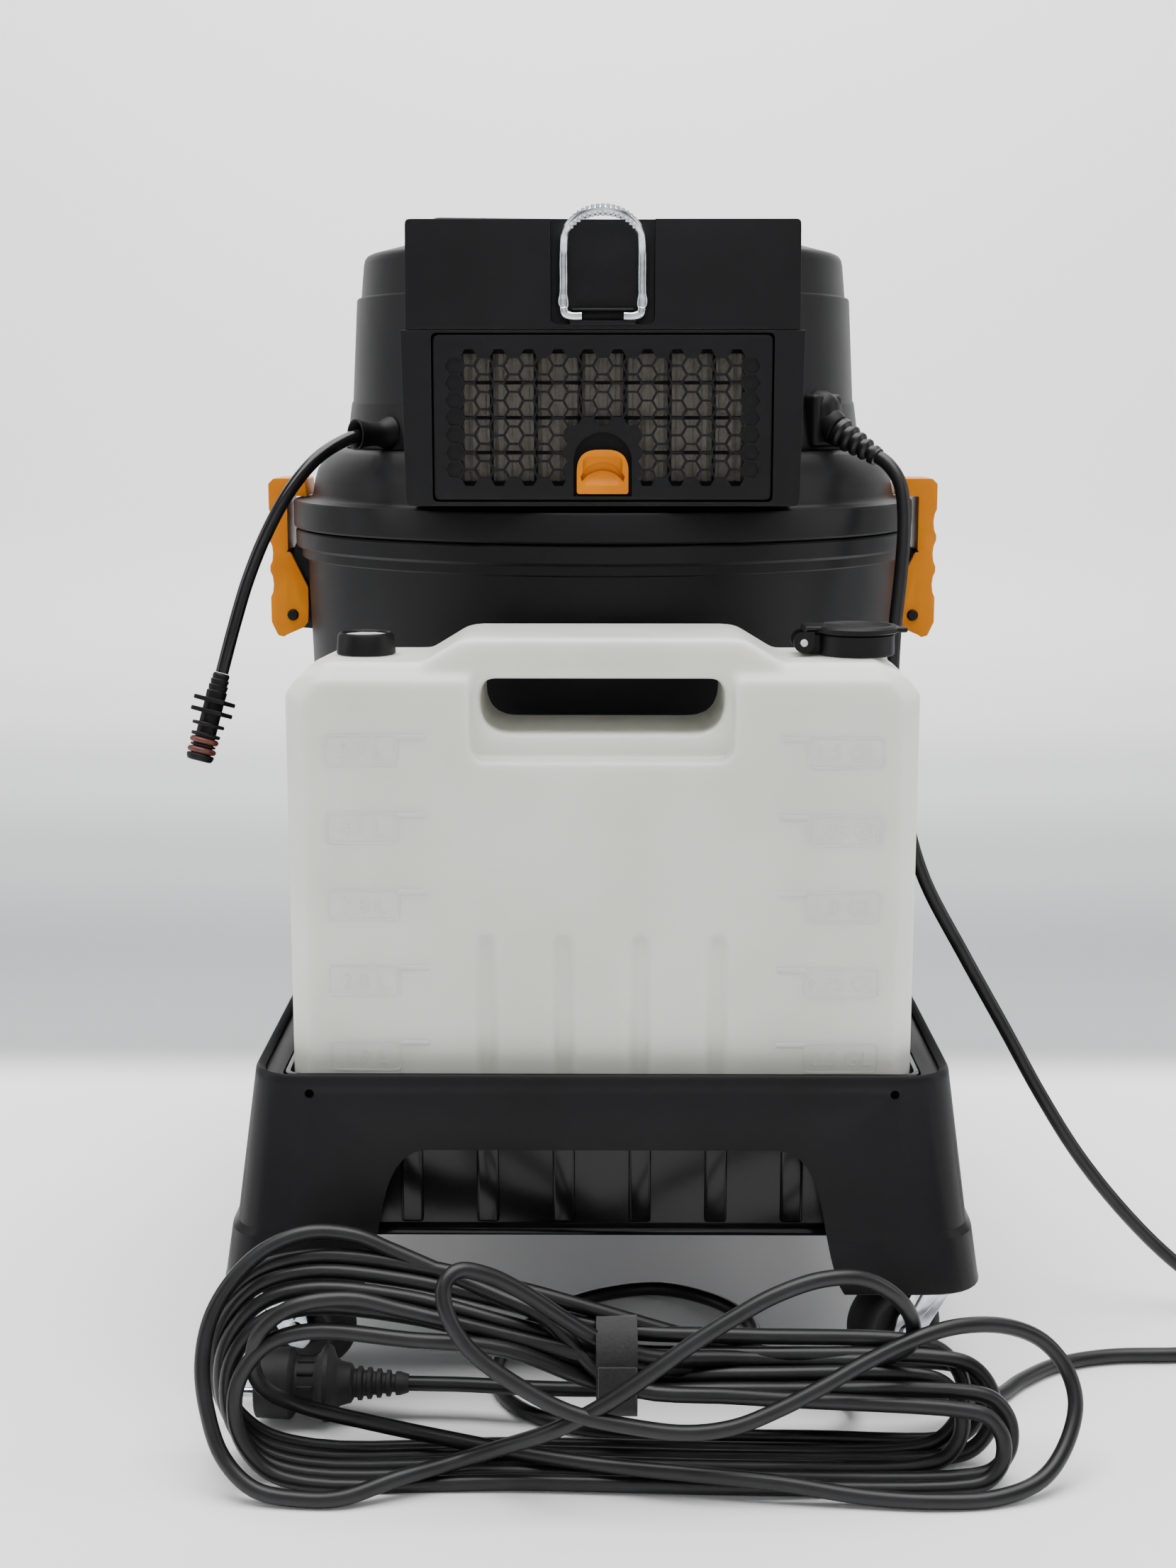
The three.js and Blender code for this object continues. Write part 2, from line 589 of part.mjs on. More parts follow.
function carryHandle() {
  const foot = COVER_TOP_Z + GAP;
  const bar = 580;
  const roof = 592.5;
  const shape = new THREE.Shape();
  shape.moveTo(-112, foot);
  shape.lineTo(WELL.x0, foot);
  shape.lineTo(WELL.x0, bar);
  shape.lineTo(WELL.x1, bar);
  shape.lineTo(WELL.x1, foot);
  shape.lineTo(88, foot);
  shape.quadraticCurveTo(84, roof, 72, roof);
  shape.lineTo(-92, roof);
  shape.quadraticCurveTo(-101, roof - 1, -104, 584);
  shape.quadraticCurveTo(-106, 578.5, -112, foot + 0.8);
  return alongY(shape, DRUM_Y - 19, DRUM_Y + 19, { curveSegments: 5 });
}
place("carry_handle", carryHandle(), SATIN_BLACK);

// ---------------------------------------------------------------- switches
const SWITCH_Y = DRUM_Y + 92;
const SWITCH_ROOM = { x: 12, y: 8 };
function switchPanel() {
  const plan = roundedRect(-50, 50, SWITCH_Y - 20, SWITCH_Y + 20, 8);
  let panel = solid(extruded(plan, 6).translate(0, 0, COVER_TOP_Z + GAP));
  for (const x of [-22, 22]) {
    panel = panel.subtract(box(
      x - SWITCH_ROOM.x - 0.6, x + SWITCH_ROOM.x + 0.6,
      SWITCH_Y - SWITCH_ROOM.y - 0.8, SWITCH_Y + SWITCH_ROOM.y + 0.8, COVER_TOP_Z + 1.5, 600,
    ));
  }
  return panel;
}
place("switch_panel", switchPanel(), GLOSS_BLACK);
for (const [name, x] of [["suction_switch", -22], ["pump_switch", 22]]) {
  const z = COVER_TOP_Z + GAP;
  const half = SWITCH_ROOM.y;
  const rocker = outline([
    [-half, z + 5.5], [-half * 0.6, z + 4], [0, z + 3], [half * 0.6, z + 4], [half, z + 5.5],
    [half * 0.9, z + 9], [0, z + 7.4], [-half, z + 10.5],
  ]);
  const made = alongX(rocker, x - SWITCH_ROOM.x, x + SWITCH_ROOM.x);
  place(name, made.translate([0, SWITCH_Y, 0]), SATIN_BLACK);
}

// ---------------------------------------------------------------- filter box
function filterBox() {
  const outer = box(-BOX_HALF, BOX_HALF, BOX_REAR, BOX_REAR + 84, BOX_Z, BOX_SPLIT_Z - GAP);
  let made = outer.subtract(coverKeepOut);
  made = made.subtract(housingKeepOut);
  made = made.subtract(box(
    -DOOR_HALF - 0.7, DOOR_HALF + 0.7, BOX_REAR - 1, BOX_REAR + 9, DOOR_Z - 0.7, DOOR_Z + DOOR_H + 1,
  ));
  made = made.subtract(box(
    -FILTER_ROOM, FILTER_ROOM, BOX_REAR, BOX_REAR + FILTER_DEEP, DOOR_Z + 3, DOOR_Z + DOOR_H - 4,
  ));
  return made;
}
function largest(manifold) {
  return manifold.decompose().reduce((big, one) => (one.volume() > big.volume() ? one : big));
}
place("filter_box", largest(filterBox()), SATIN_BLACK);

function hookPanel() {
  const outer = box(-UPPER_HALF, UPPER_HALF, BOX_REAR, BOX_REAR + 70, BOX_SPLIT_Z, UPPER_TOP_Z);
  let made = outer.subtract(coverKeepOut);
  made = made.subtract(box(-26, 26, BOX_REAR - 1, BOX_REAR + 4.5, 528, UPPER_TOP_Z + 1));
  const lug = HOOK_HALF - HOOK_WIRE_R - 1.1;
  made = made.add(box(-lug, lug, BOX_REAR - 0.5, BOX_REAR + 5, 528, 536));
  const bore = rodAlong("x", HOOK_WIRE_R + 2 * GAP, -lug - 1, lug + 1, 12);
  return made.subtract(bore.translate([0, BOX_REAR + 1, HOOK_PIVOT_Z]));
}
place("hook_panel", largest(hookPanel()), SATIN_BLACK);

function hookWire() {
  const y = BOX_REAR + 1;
  const lean = THREE.MathUtils.degToRad(HOOK_LEAN);
  const legTop = HOOK_PIVOT_Z + HOOK_LEG;
  const route = [[-HOOK_HALF + 9, y, HOOK_PIVOT_Z], [-HOOK_HALF + 3.5, y, HOOK_PIVOT_Z]];
  route.push([-HOOK_HALF, y, HOOK_PIVOT_Z + 3.5], [-HOOK_HALF, y, legTop - 18], [-HOOK_HALF, y, legTop - 3]);
  const turns = 8;
  for (let i = 1; i < turns; i += 1) {
    const t = (i / turns) * Math.PI;
    const rise = HOOK_HALF * Math.sin(t);
    const x = -HOOK_HALF * Math.cos(t);
    route.push([x, y - rise * Math.sin(lean), legTop + rise * Math.cos(lean)]);
  }
  route.push([HOOK_HALF, y, legTop - 3], [HOOK_HALF, y, legTop - 18], [HOOK_HALF, y, HOOK_PIVOT_Z + 3.5]);
  route.push([HOOK_HALF - 3.5, y, HOOK_PIVOT_Z], [HOOK_HALF - 9, y, HOOK_PIVOT_Z]);
  return tube(route, HOOK_WIRE_R - 0.15, 44, 8);
}
place("hose_hook", hookWire(), ZINC);

const TAB_ARCH = 14.7;
const TAB_ARCH_H = 34;
function tabArch(grow) {
  const half = TAB_ARCH + grow;
  const shape = new THREE.Shape();
  shape.moveTo(-half, DOOR_Z + 2 - grow);
  shape.lineTo(half, DOOR_Z + 2 - grow);
  shape.lineTo(half, DOOR_Z + TAB_ARCH_H - TAB_ARCH);
  shape.absarc(0, DOOR_Z + TAB_ARCH_H - TAB_ARCH, half, 0, Math.PI, false);
  return shape;
}
function filterDoor() {
  const back = BOX_REAR + DOOR_T;
  let made = box(-DOOR_HALF, DOOR_HALF, BOX_REAR, back, DOOR_Z, DOOR_Z + DOOR_H);
  const columns = 8;
  const rows = 3;
  const border = { x: 6, z: 7 };
  const bar = 3;
  const wide = (2 * (DOOR_HALF - border.x) - (columns - 1) * bar) / columns;
  const tall = (DOOR_H - 2 * border.z - (rows - 1) * bar) / rows;
  for (let i = 0; i < columns; i += 1) {
    for (let j = 0; j < rows; j += 1) {
      const x = -DOOR_HALF + border.x + i * (wide + bar);
      const z = DOOR_Z + border.z + j * (tall + bar);
      made = made.subtract(box(x, x + wide, BOX_REAR - 1, back + 1, z, z + tall));
    }
  }
  const pod = alongY(tabArch(2), BOX_REAR, BOX_REAR + TAB_POCKET_DEPTH + 1.5, { curveSegments: 8 });
  const hollow = alongY(tabArch(0), BOX_REAR - 1, BOX_REAR + TAB_POCKET_DEPTH, { curveSegments: 8 });
  return made.add(pod).subtract(hollow);
}
place("filter_door", filterDoor(), SATIN_BLACK);

function doorTab() {
  const z = DOOR_Z + 2 + 1.2;
  const deep = BOX_REAR + TAB_POCKET_DEPTH - 1.2;
  const shape = outline([
    [deep, z], [BOX_REAR - 1, z], [BOX_REAR - 1, z + 7], [BOX_REAR + 2.5, z + 9],
    [BOX_REAR + 2.5, z + 12], [BOX_REAR - 0.5, z + 15], [BOX_REAR + 3, z + TAB_H], [deep, z + TAB_H],
  ].reverse());
  return alongX(shape, -TAB_HALF, TAB_HALF);
}
place("door_release_tab", doorTab(), ORANGE);

function pleatedFilter() {
  const y0 = BOX_REAR + 11;
  const y1 = BOX_REAR + FILTER_DEEP - 2;
  const half = FILTER_ROOM - 3;
  const pleats = 40;
  const shape = new THREE.Shape();
  const pitch = (2 * half) / pleats;
  shape.moveTo(-half, y1);
  for (let i = 0; i < pleats; i += 1) {
    shape.lineTo(-half + i * pitch, y0 + 2);
    shape.lineTo(-half + (i + 0.5) * pitch, y0 + 8);
  }
  shape.lineTo(half, y0 + 2);
  shape.lineTo(half, y1);
  const height = DOOR_H - 12;
  return solid(extruded(shape, height).translate(0, 0, DOOR_Z + 6));
}
place("pleated_filter", pleatedFilter(), PAPER);

// ---------------------------------------------------------------- suction parts
const mountZ = FLOOR_Z + FLOOR_T + GAP;
const mountT = 4;
place("motor_mount", turned([
  [22, mountZ], [FLOOR_HOLE_R + 12, mountZ], [FLOOR_HOLE_R + 12, mountZ + mountT], [22, mountZ + mountT],
], 32, 0, DRUM_Y), SATIN_BLACK);

const fanZ = mountZ + mountT + GAP;
const fanTop = fanZ + FAN_H + 7;
place("fan_housing", turned([
  [FAN_R + 3, fanZ], [FAN_R + 6, fanZ], [FAN_R + 6, fanTop], [SHAFT_R + 1, fanTop],
  [SHAFT_R + 1, fanTop - 2.5], [FAN_R + 3, fanTop - 2.5],
], 32, 0, DRUM_Y), SATIN_BLACK);

const motorZ = fanTop + GAP;
place("suction_motor", turned([
  [SHAFT_R + 1, motorZ], [MOTOR_R, motorZ], [MOTOR_R, motorZ + MOTOR_H - 12],
  [MOTOR_R - 8, motorZ + MOTOR_H], [SHAFT_R + 1, motorZ + MOTOR_H],
], 28, 0, DRUM_Y), ZINC);

function impeller() {
  const z = fanZ + 1.5;
  let made = turned([
    [0, z], [FAN_R, z], [FAN_R, z + 2], [SHAFT_R + 5, z + 3], [SHAFT_R + 5, z + FAN_H],
    [SHAFT_R, z + FAN_H], [SHAFT_R, motorZ + MOTOR_H + 6], [0, motorZ + MOTOR_H + 6],
  ], 28);
  const blades = 8;
  for (let i = 0; i < blades; i += 1) {
    const blade = box(SHAFT_R + 3, FAN_R - 2, -1, 1, z + 1, z + FAN_H - 2);
    made = made.add(blade.rotate([0, 0, (i * 360) / blades]));
  }
  return made.translate([0, DRUM_Y, 0]);
}
place("impeller", impeller(), ZINC);

function pump() {
  const z = FLOOR_Z + FLOOR_T + GAP;
  const body = box(61, 111, DRUM_Y + 42, DRUM_Y + 80, z, z + 36);
  const barrel = rodAlong("x", 14, 64, 114, 20).translate([0, DRUM_Y + 60, z + 38]);
  return join(body, barrel);
}
place("solution_pump", pump(), SATIN_BLACK);

const cageTop = FLOOR_Z - GAP;
const cageFoot = cageTop - CAGE_H;
function floatCage() {
  let cage = turned([
    [0, cageFoot], [CAGE_R, cageFoot], [CAGE_R, cageTop - 3], [FLOOR_HOLE_R + 8, cageTop - 3],
    [FLOOR_HOLE_R + 8, cageTop], [CAGE_R - 2.5, cageTop], [CAGE_R - 2.5, cageFoot + 2.5],
    [0, cageFoot + 2.5],
  ], 24);
  for (const turn of [0, 60, 120]) {
    const window = box(-CAGE_R - 5, CAGE_R + 5, -7, 7, cageFoot + 12, cageTop - 12);
    cage = cage.subtract(window.rotate([0, 0, turn]));
  }
  return cage.translate([0, DRUM_Y, 0]);
}
place("float_cage", floatCage(), SATIN_BLACK);
const floatZ = cageFoot + 2.5 + GAP;
place("shutoff_float", turned([
  [0, floatZ], [FLOAT_R - 6, floatZ], [FLOAT_R, floatZ + 6], [FLOAT_R, floatZ + 30],
  [FLOAT_R - 8, floatZ + 38], [0, floatZ + 40],
], 20, 0, DRUM_Y), ORANGE);

// ---------------------------------------------------------------- solution tank
function tankOutline(inset) {
  const half = TANK_HALF - inset;
  const bottom = TANK_BOTTOM_Z + inset;
  const deck = TANK_DECK_Z - inset;
  const corner = 8;
  const shoulder = TANK_SHOULDER;
  const shape = new THREE.Shape();
  shape.moveTo(-half + corner, bottom);
  shape.lineTo(half - corner, bottom);
  shape.absarc(half - corner, bottom + corner, corner, -Math.PI / 2, 0, false);
  shape.lineTo(half, deck - shoulder - 5);
  shape.lineTo(half - shoulder, deck);
  if (inset > 0) {
    const grip = GRIP_HALF + GRIP_FRAME + inset;
    const sill = GRIP_BOTTOM_Z - 14 - inset;
    shape.lineTo(grip, deck);
    shape.lineTo(grip, sill);
    shape.lineTo(-grip, sill);
    shape.lineTo(-grip, deck);
  } else {
    shape.lineTo(GRIP_HALF + 23, deck);
    shape.lineTo(GRIP_HALF + 7, GRIP_ROOF_Z);
    shape.lineTo(-GRIP_HALF - 7, GRIP_ROOF_Z);
    shape.lineTo(-GRIP_HALF - 23, deck);
  }
  shape.lineTo(-half + shoulder, deck);
  shape.lineTo(-half, deck - shoulder - 5);
  shape.lineTo(-half, bottom + corner);
  shape.absarc(-half + corner, bottom + corner, corner, Math.PI, Math.PI * 1.5, false);
  return shape;
}
const tankMidY = TANK_REAR + TANK_T / 2;
const neckTop = TANK_DECK_Z + 4;
// the outline pulled in towards both faces, so their edges are rounded over
function tankBlock(inset) {
  const edge = TANK_EDGE;
  const deep = TANK_T - 2 * inset;
  const levels = [
    [0, -edge], [edge * 0.3, -edge * 0.3], [edge, 0],
    [deep - edge, 0], [deep - edge * 0.3, -edge * 0.3], [deep, -edge],
  ];
  const halfZ = (GRIP_ROOF_Z - TANK_BOTTOM_Z) / 2;
  const midZ = TANK_BOTTOM_Z + halfZ;
  const block = flared(tankOutline(inset), levels, TANK_HALF, halfZ, midZ);
  return block.rotate([90, 0, 0]).translate([0, TANK_REAR + TANK_T - inset, 0]);
}
function solutionTank() {
  let made = tankBlock(0);
  const hollow = tankBlock(TANK_WALL);
  const sill = GRIP_BOTTOM_Z - 14;
  const frame = GRIP_HALF + GRIP_FRAME;
  const recess = roundedRect(-frame, frame, sill, GRIP_TOP_Z + 6, 10);
  for (const y of [TANK_REAR - 1, TANK_REAR + TANK_T - GRIP_FRAME_DEPTH]) {
    made = made.subtract(alongY(recess, y, y + GRIP_FRAME_DEPTH + 1, { curveSegments: 4 }));
  }
  const hand = roundedRect(-GRIP_HALF, GRIP_HALF, GRIP_BOTTOM_Z, GRIP_TOP_Z, [12, 12, 2, 2]);
  made = made.subtract(alongY(hand, TANK_REAR - 5, TANK_REAR + TANK_T + 5, { curveSegments: 4 }));
  for (const [x, r] of [[OUTLET_X, OUTLET_R - 3.5], [FILLER_X, FILLER_R - 3.5]]) {
    made = made.add(rod(r, x, tankMidY, TANK_DECK_Z - 4, neckTop + CAP_H - 3, 20));
  }
  made = made.subtract(hollow);
  for (const [x, r] of [[OUTLET_X, OUTLET_R - 6], [FILLER_X, FILLER_R - 6]]) {
    made = made.subtract(rod(r, x, tankMidY, TANK_DECK_Z - 8, neckTop + CAP_H, 20));
  }
  return made;
}
place("solution_tank", solutionTank(), HDPE);

function capRing(x, r, sides) {
  return turned([
    [r - 3.5 + GAP, TANK_DECK_Z + GAP], [r, TANK_DECK_Z + GAP], [r, neckTop + CAP_H - 2],
    [r - 3.5 + GAP, neckTop + CAP_H - 2],
  ], sides, x, tankMidY);
}
place("outlet_cap", capRing(OUTLET_X, OUTLET_R, 24), GLOSS_BLACK);

const lidPinX = FILLER_X - FILLER_R - 7;
const lidZ = neckTop + CAP_H - 2 + GAP;
const LID_T = 3.5;
const LID_PIN_R = 1.8;
const LID_PIN_DROP = 4.5; // from the lid's underside down to the pin's axis
const LID_HINGE_W = 20;
const lidPinZ = lidZ - LID_PIN_DROP;
function onLidPin(r, halfWidth) {
  return rodAlong("y", r, -halfWidth, halfWidth, 16).translate([lidPinX, tankMidY, lidPinZ]);
}
function fillerCollar() {
  const ring = capRing(FILLER_X, FILLER_R, 24);
  const half = LID_HINGE_W / 2 - 4;
  const right = FILLER_X - FILLER_R + 1;
  const arm = box(lidPinX, right, tankMidY - half, tankMidY + half, TANK_DECK_Z + 1, lidZ - 1);
  const knuckle = onLidPin(LID_PIN_DROP - 1, half);
  return join(ring, arm, knuckle).subtract(onLidPin(LID_PIN_R + GAP, LID_HINGE_W));
}
place("filler_collar", fillerCollar(), GLOSS_BLACK);
function fillerLid() {
  const half = LID_HINGE_W / 2;
  const right = FILLER_X + FILLER_R;
  const plate = rod(FILLER_R + 2, FILLER_X, tankMidY, lidZ, lidZ + LID_T, 24);
  const arm = box(lidPinX, FILLER_X - FILLER_R + 4, tankMidY - half, tankMidY + half, lidZ, lidZ + LID_T);
  const nib = box(right, right + 6, tankMidY - 5, tankMidY + 5, lidZ, lidZ + 2.5);
  let hinge = box(lidPinX, lidPinX + 5, tankMidY - half, tankMidY + half, lidPinZ, lidZ + LID_T);
  hinge = hinge.add(onLidPin(5, half)).subtract(
    box(lidPinX - 9, lidPinX + 9, tankMidY - half + 3, tankMidY + half - 3, lidPinZ - 9, lidZ),
  );
  return join(plate, arm, nib, hinge).subtract(onLidPin(LID_PIN_R + GAP, LID_HINGE_W));
}
place("filler_lid", fillerLid(), GLOSS_BLACK);
place("filler_lid_pin", onLidPin(LID_PIN_R, LID_HINGE_W / 2 + 1), HDPE);

// ---------------------------------------------------------------- solution hose
const HOSE_SOCKET = 6; // how far the hose goes into its port
function hosePort() {
  const profile = [
    [HOSE_R + 1.2, 0], [8.2, 0], [8.2, 3], [6.2, 6], [6.2, 14], [8.2, 21], [6.6, 21], [HOSE_R + 1.2, 14],
  ];
  const sleeve = turned(profile, 20).transform(
    new THREE.Matrix4().makeRotationY(Math.PI / 2).setPosition(COVER_R - 0.8, 0, 0).elements,
  );
  return radial(sleeve, PORT_ANGLE, PORT_Z).subtract(coverKeepOut);
}
place("solution_hose_port", hosePort(), SATIN_BLACK);

function onRadius(degrees, r, z) {
  const turn = THREE.MathUtils.degToRad(degrees);
  return [r * Math.cos(turn), DRUM_Y + r * Math.sin(turn), z];
}
const hoseRoute = [
  onRadius(PORT_ANGLE, COVER_R + 20 - HOSE_SOCKET, PORT_Z),
  onRadius(PORT_ANGLE, COVER_R + 23, PORT_Z - 1.5),
  onRadius(PORT_ANGLE, COVER_R + 43, PORT_Z - 11),
  onRadius(PORT_ANGLE, COVER_R + 61, PORT_Z - 28),
  onRadius(PORT_ANGLE, COVER_R + 76, PORT_Z - 50),
  onRadius(PORT_ANGLE, COVER_R + 88, PORT_Z - 74),
  onRadius(PORT_ANGLE, COVER_R + 97, PORT_Z - 98),
  onRadius(PORT_ANGLE, COVER_R + 105, PORT_Z - 122),
];
place("solution_hose", tube(hoseRoute, HOSE_R, 18, 8), PVC);

const hoseEnd = new THREE.Vector3(...hoseRoute[hoseRoute.length - 1]);
const hoseAim = hoseEnd.clone().sub(new THREE.Vector3(...hoseRoute[hoseRoute.length - 2])).normalize();
function onHose(profile, sides = 20) {
  const turn = new THREE.Quaternion().setFromUnitVectors(new THREE.Vector3(0, 0, 1), hoseAim);
  const move = new THREE.Matrix4().compose(hoseEnd, turn, new THREE.Vector3(1, 1, 1));
  return turned(profile, sides).transform(move.elements);
}
function fittingWithGrooves() {
  return onHose([
    [0, GAP], [4.2, GAP], [4.8, 14], [9, 14], [9, 16.4], [5, 16.4], [5, 20], [9, 20], [9, 22.4],
    [5, 22.4], [5, 27], [8.5, 27], [8.5, 29], [5.2, 29], [5.2, 32.5], [7.6, 32.5], [7.6, 34.5],
    [5.2, 34.5], [5.2, 44], [7.2, 44], [6.2, 47.5], [0, 47.5],
  ], 14);
}
place("hose_connector", fittingWithGrooves(), SATIN_BLACK);
for (const [name, at] of [["o_ring_upper", 35.2], ["o_ring_lower", 40]]) {
  place(name, onHose([[5.5, at], [7.1, at], [7.6, at + 1.6], [7.1, at + 3.2], [5.5, at + 3.2]]), RUBBER);
}

// ---------------------------------------------------------------- mains lead
const bossFoot = COVER_R - 4; // the strain relief droops about this radius
const BOSS_NOSE = 14;
const BOOT_LENGTH = 28;
// drawn along +X from the root of the boss, tipped down, then set on the cover
function drooped(made) {
  const tip = new THREE.Matrix4().makeRotationY(THREE.MathUtils.degToRad(CORD_DROOP));
  tip.setPosition(bossFoot, 0, 0);
  return radial(made.transform(tip.elements), CORD_ANGLE, CORD_Z);
}
function cordBoss() {
  const block = radial(box(COVER_R - 12, COVER_R + 3, -15, 15, -15.5, 13), CORD_ANGLE, CORD_Z);
  const nose = drooped(rodAlong("x", 9.5, 0, BOSS_NOSE, 16));
  return join(block, nose).subtract(coverKeepOut).subtract(housingKeepOut);
}
place("cord_boss", largest(cordBoss()), SATIN_BLACK);

function cordBoot() {
  const profile = [[0, 0], [8, 0], [8, 4]];
  for (let at = 6; at < BOOT_LENGTH - 4; at += 6) {
    const r = 7.4 - (at / BOOT_LENGTH) * 2.2;
    profile.push([r - 1.2, at], [r - 1.2, at + 2], [r, at + 2], [r, at + 5]);
  }
  profile.push([4.6, BOOT_LENGTH], [0, BOOT_LENGTH]);
  const boot = turned(profile, 16).transform(
    new THREE.Matrix4().makeRotationY(Math.PI / 2).setPosition(BOSS_NOSE + GAP, 0, 0).elements,
  );
  return drooped(boot);
}
place("cord_boot", cordBoot(), RUBBER);

// a point so far past the tip of the strain relief, on its centre line
function pastBoot(reach) {
  const along = BOSS_NOSE + GAP + BOOT_LENGTH + reach;
  const droop = THREE.MathUtils.degToRad(CORD_DROOP);
  return onRadius(CORD_ANGLE, bossFoot + along * Math.cos(droop), CORD_Z - along * Math.sin(droop));
}
const CORD_ON_FLOOR = CORD_R + 0.15;
const CORD_JOINT = 0.6; // where a free stretch meets the hank
const HANK = { x0: -186, x1: 220, y0: -319, y1: -254.5, left: 100, right: 62 };
const leadRoute = [
  pastBoot(GAP), pastBoot(7), [158.5, -58, 447], [160.5, -63, 428], [159, -67, 400],
  [156, -71, 370], [155, -75, 335],
  [158, -79, 300], [164, -81, 267], [174, -82, 236], [196, -86, 195], [218, -92, 156],
  [238, -97, 120], [259, -100, 87], [284, -102, 56], [311, -103, 29], [336, -107, 11],
  [354, -119, CORD_ON_FLOOR], [359, -138, CORD_ON_FLOOR], [349, -156, CORD_ON_FLOOR],
  [328, -166, CORD_ON_FLOOR], [298, -169, CORD_ON_FLOOR], [262, -171, CORD_ON_FLOOR],
  [234, -181, CORD_ON_FLOOR], [212, -203, CORD_ON_FLOOR], [198, -226, CORD_ON_FLOOR],
  [192, -244, CORD_ON_FLOOR], [191.5, HANK.y1 + CORD_JOINT, CORD_ON_FLOOR],
];
place("cord_lead", tube(leadRoute, CORD_R, 70, 8), PVC);

function hankSolid() {
  const leftR = HANK.left / 2;
  const rightR = HANK.right / 2;
  const shape = new THREE.Shape();
  shape.moveTo(HANK.x0 + leftR, 0);
  shape.lineTo(HANK.x1 - rightR, 0);
  shape.absarc(HANK.x1 - rightR, rightR, rightR, -Math.PI / 2, Math.PI / 2, false);
  shape.lineTo(20, HANK.right);
  shape.lineTo(HANK.x0 + leftR, HANK.left);
  shape.absarc(HANK.x0 + leftR, leftR, leftR, Math.PI / 2, Math.PI * 1.5, false);
  return alongY(shape, HANK.y0, HANK.y1, { curveSegments: 10 });
}
const tieAt = { x0: -4, x1: 20 };
const tieRoom = box(tieAt.x0 - GAP, tieAt.x1 + GAP, HANK.y0 - 5, HANK.y1 + 5, HANK.right + 2, 200);
place("cord_hank", hankSolid().subtract(tieRoom), PVC);
const tieBottom = HANK.right + 2 + GAP;
const tie = box(tieAt.x0, tieAt.x1, HANK.y0 + 22, HANK.y1 - 12, tieBottom, HANK.right + 8);
place("cord_tie", tie, RUBBER);

const loopRoute = [
  [-10, HANK.y1 + CORD_JOINT, CORD_ON_FLOOR], [-10, HANK.y1 + 9, CORD_ON_FLOOR],
  [8, -220, CORD_ON_FLOOR], [40, -186, CORD_ON_FLOOR], [70, -152, CORD_ON_FLOOR],
  [76, -118, CORD_ON_FLOOR], [56, -90, CORD_ON_FLOOR], [24, -80, CORD_ON_FLOOR],
  [-12, -88, CORD_ON_FLOOR], [-42, -112, CORD_ON_FLOOR], [-56, -150, CORD_ON_FLOOR],
  [-54, -192, CORD_ON_FLOOR], [-46, -228, CORD_ON_FLOOR], [-42, HANK.y1 + 10, CORD_ON_FLOOR],
  [-42, HANK.y1 + CORD_JOINT, CORD_ON_FLOOR],
];
place("cord_floor_loop", tube(loopRoute, CORD_R, 26, 8), PVC);

const PLUG = { face: -168, back: -128, y: -234.5, r: 18.5, bootEnd: -94 };
function plug() {
  const length = PLUG.back - PLUG.face;
  const body = turned([
    [0, 0], [PLUG.r - 2, 0], [PLUG.r - 1, 18], [PLUG.r - 5, 20], [PLUG.r - 5, 30], [PLUG.r, 33],
    [PLUG.r, 36], [11, length], [8, length + 4], [4.6, PLUG.bootEnd - PLUG.face],
    [0, PLUG.bootEnd - PLUG.face],
  ], 24);
  let made = body.transform(new THREE.Matrix4().makeRotationY(Math.PI / 2).elements);
  for (const y of [-9.5, 9.5]) {
    made = made.add(rodAlong("x", 2.4, -19, 2, 10).translate([0, y, 0]));
  }
  return made.translate([PLUG.face, PLUG.y, PLUG.r + 0.2]);
}
place("mains_plug", plug(), RUBBER);
const tailZ = PLUG.r + 0.2;
place("cord_tail", tube([
  [PLUG.bootEnd + GAP, PLUG.y, tailZ], [PLUG.bootEnd + 8, PLUG.y, tailZ],
  [PLUG.bootEnd + 22, PLUG.y - 3, tailZ - 3], [PLUG.bootEnd + 30, HANK.y1 + 8, tailZ - 6],
  [PLUG.bootEnd + 30.5, HANK.y1 + CORD_JOINT, tailZ - 7],
], CORD_R, 8, 8), PVC);

export default machine;
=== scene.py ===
# Spray-extraction carpet cleaner seen from the rear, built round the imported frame.
# The helpers take millimetres and turn them to metres.
import math

import bpy
from mathutils import Matrix, Vector


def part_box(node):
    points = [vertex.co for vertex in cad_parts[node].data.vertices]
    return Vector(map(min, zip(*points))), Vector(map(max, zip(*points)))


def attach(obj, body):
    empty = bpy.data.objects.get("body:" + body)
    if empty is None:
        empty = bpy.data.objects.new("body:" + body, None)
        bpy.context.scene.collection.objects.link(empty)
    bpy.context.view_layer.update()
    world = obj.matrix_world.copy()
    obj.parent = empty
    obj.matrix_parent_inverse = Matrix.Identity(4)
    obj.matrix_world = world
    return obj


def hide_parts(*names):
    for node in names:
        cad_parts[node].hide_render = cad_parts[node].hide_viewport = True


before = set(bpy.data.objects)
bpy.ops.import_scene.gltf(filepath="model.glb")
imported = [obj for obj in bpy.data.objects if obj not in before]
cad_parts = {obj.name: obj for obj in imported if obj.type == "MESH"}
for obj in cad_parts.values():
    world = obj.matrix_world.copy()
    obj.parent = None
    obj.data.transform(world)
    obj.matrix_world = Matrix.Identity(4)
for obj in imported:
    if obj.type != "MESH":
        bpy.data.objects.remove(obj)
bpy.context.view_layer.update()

MM = 0.001
TAU = 2 * math.pi


def node_box(name):
    """lowest and highest corner of a CAD node, in millimetres"""
    low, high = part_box(name)
    return low / MM, high / MM


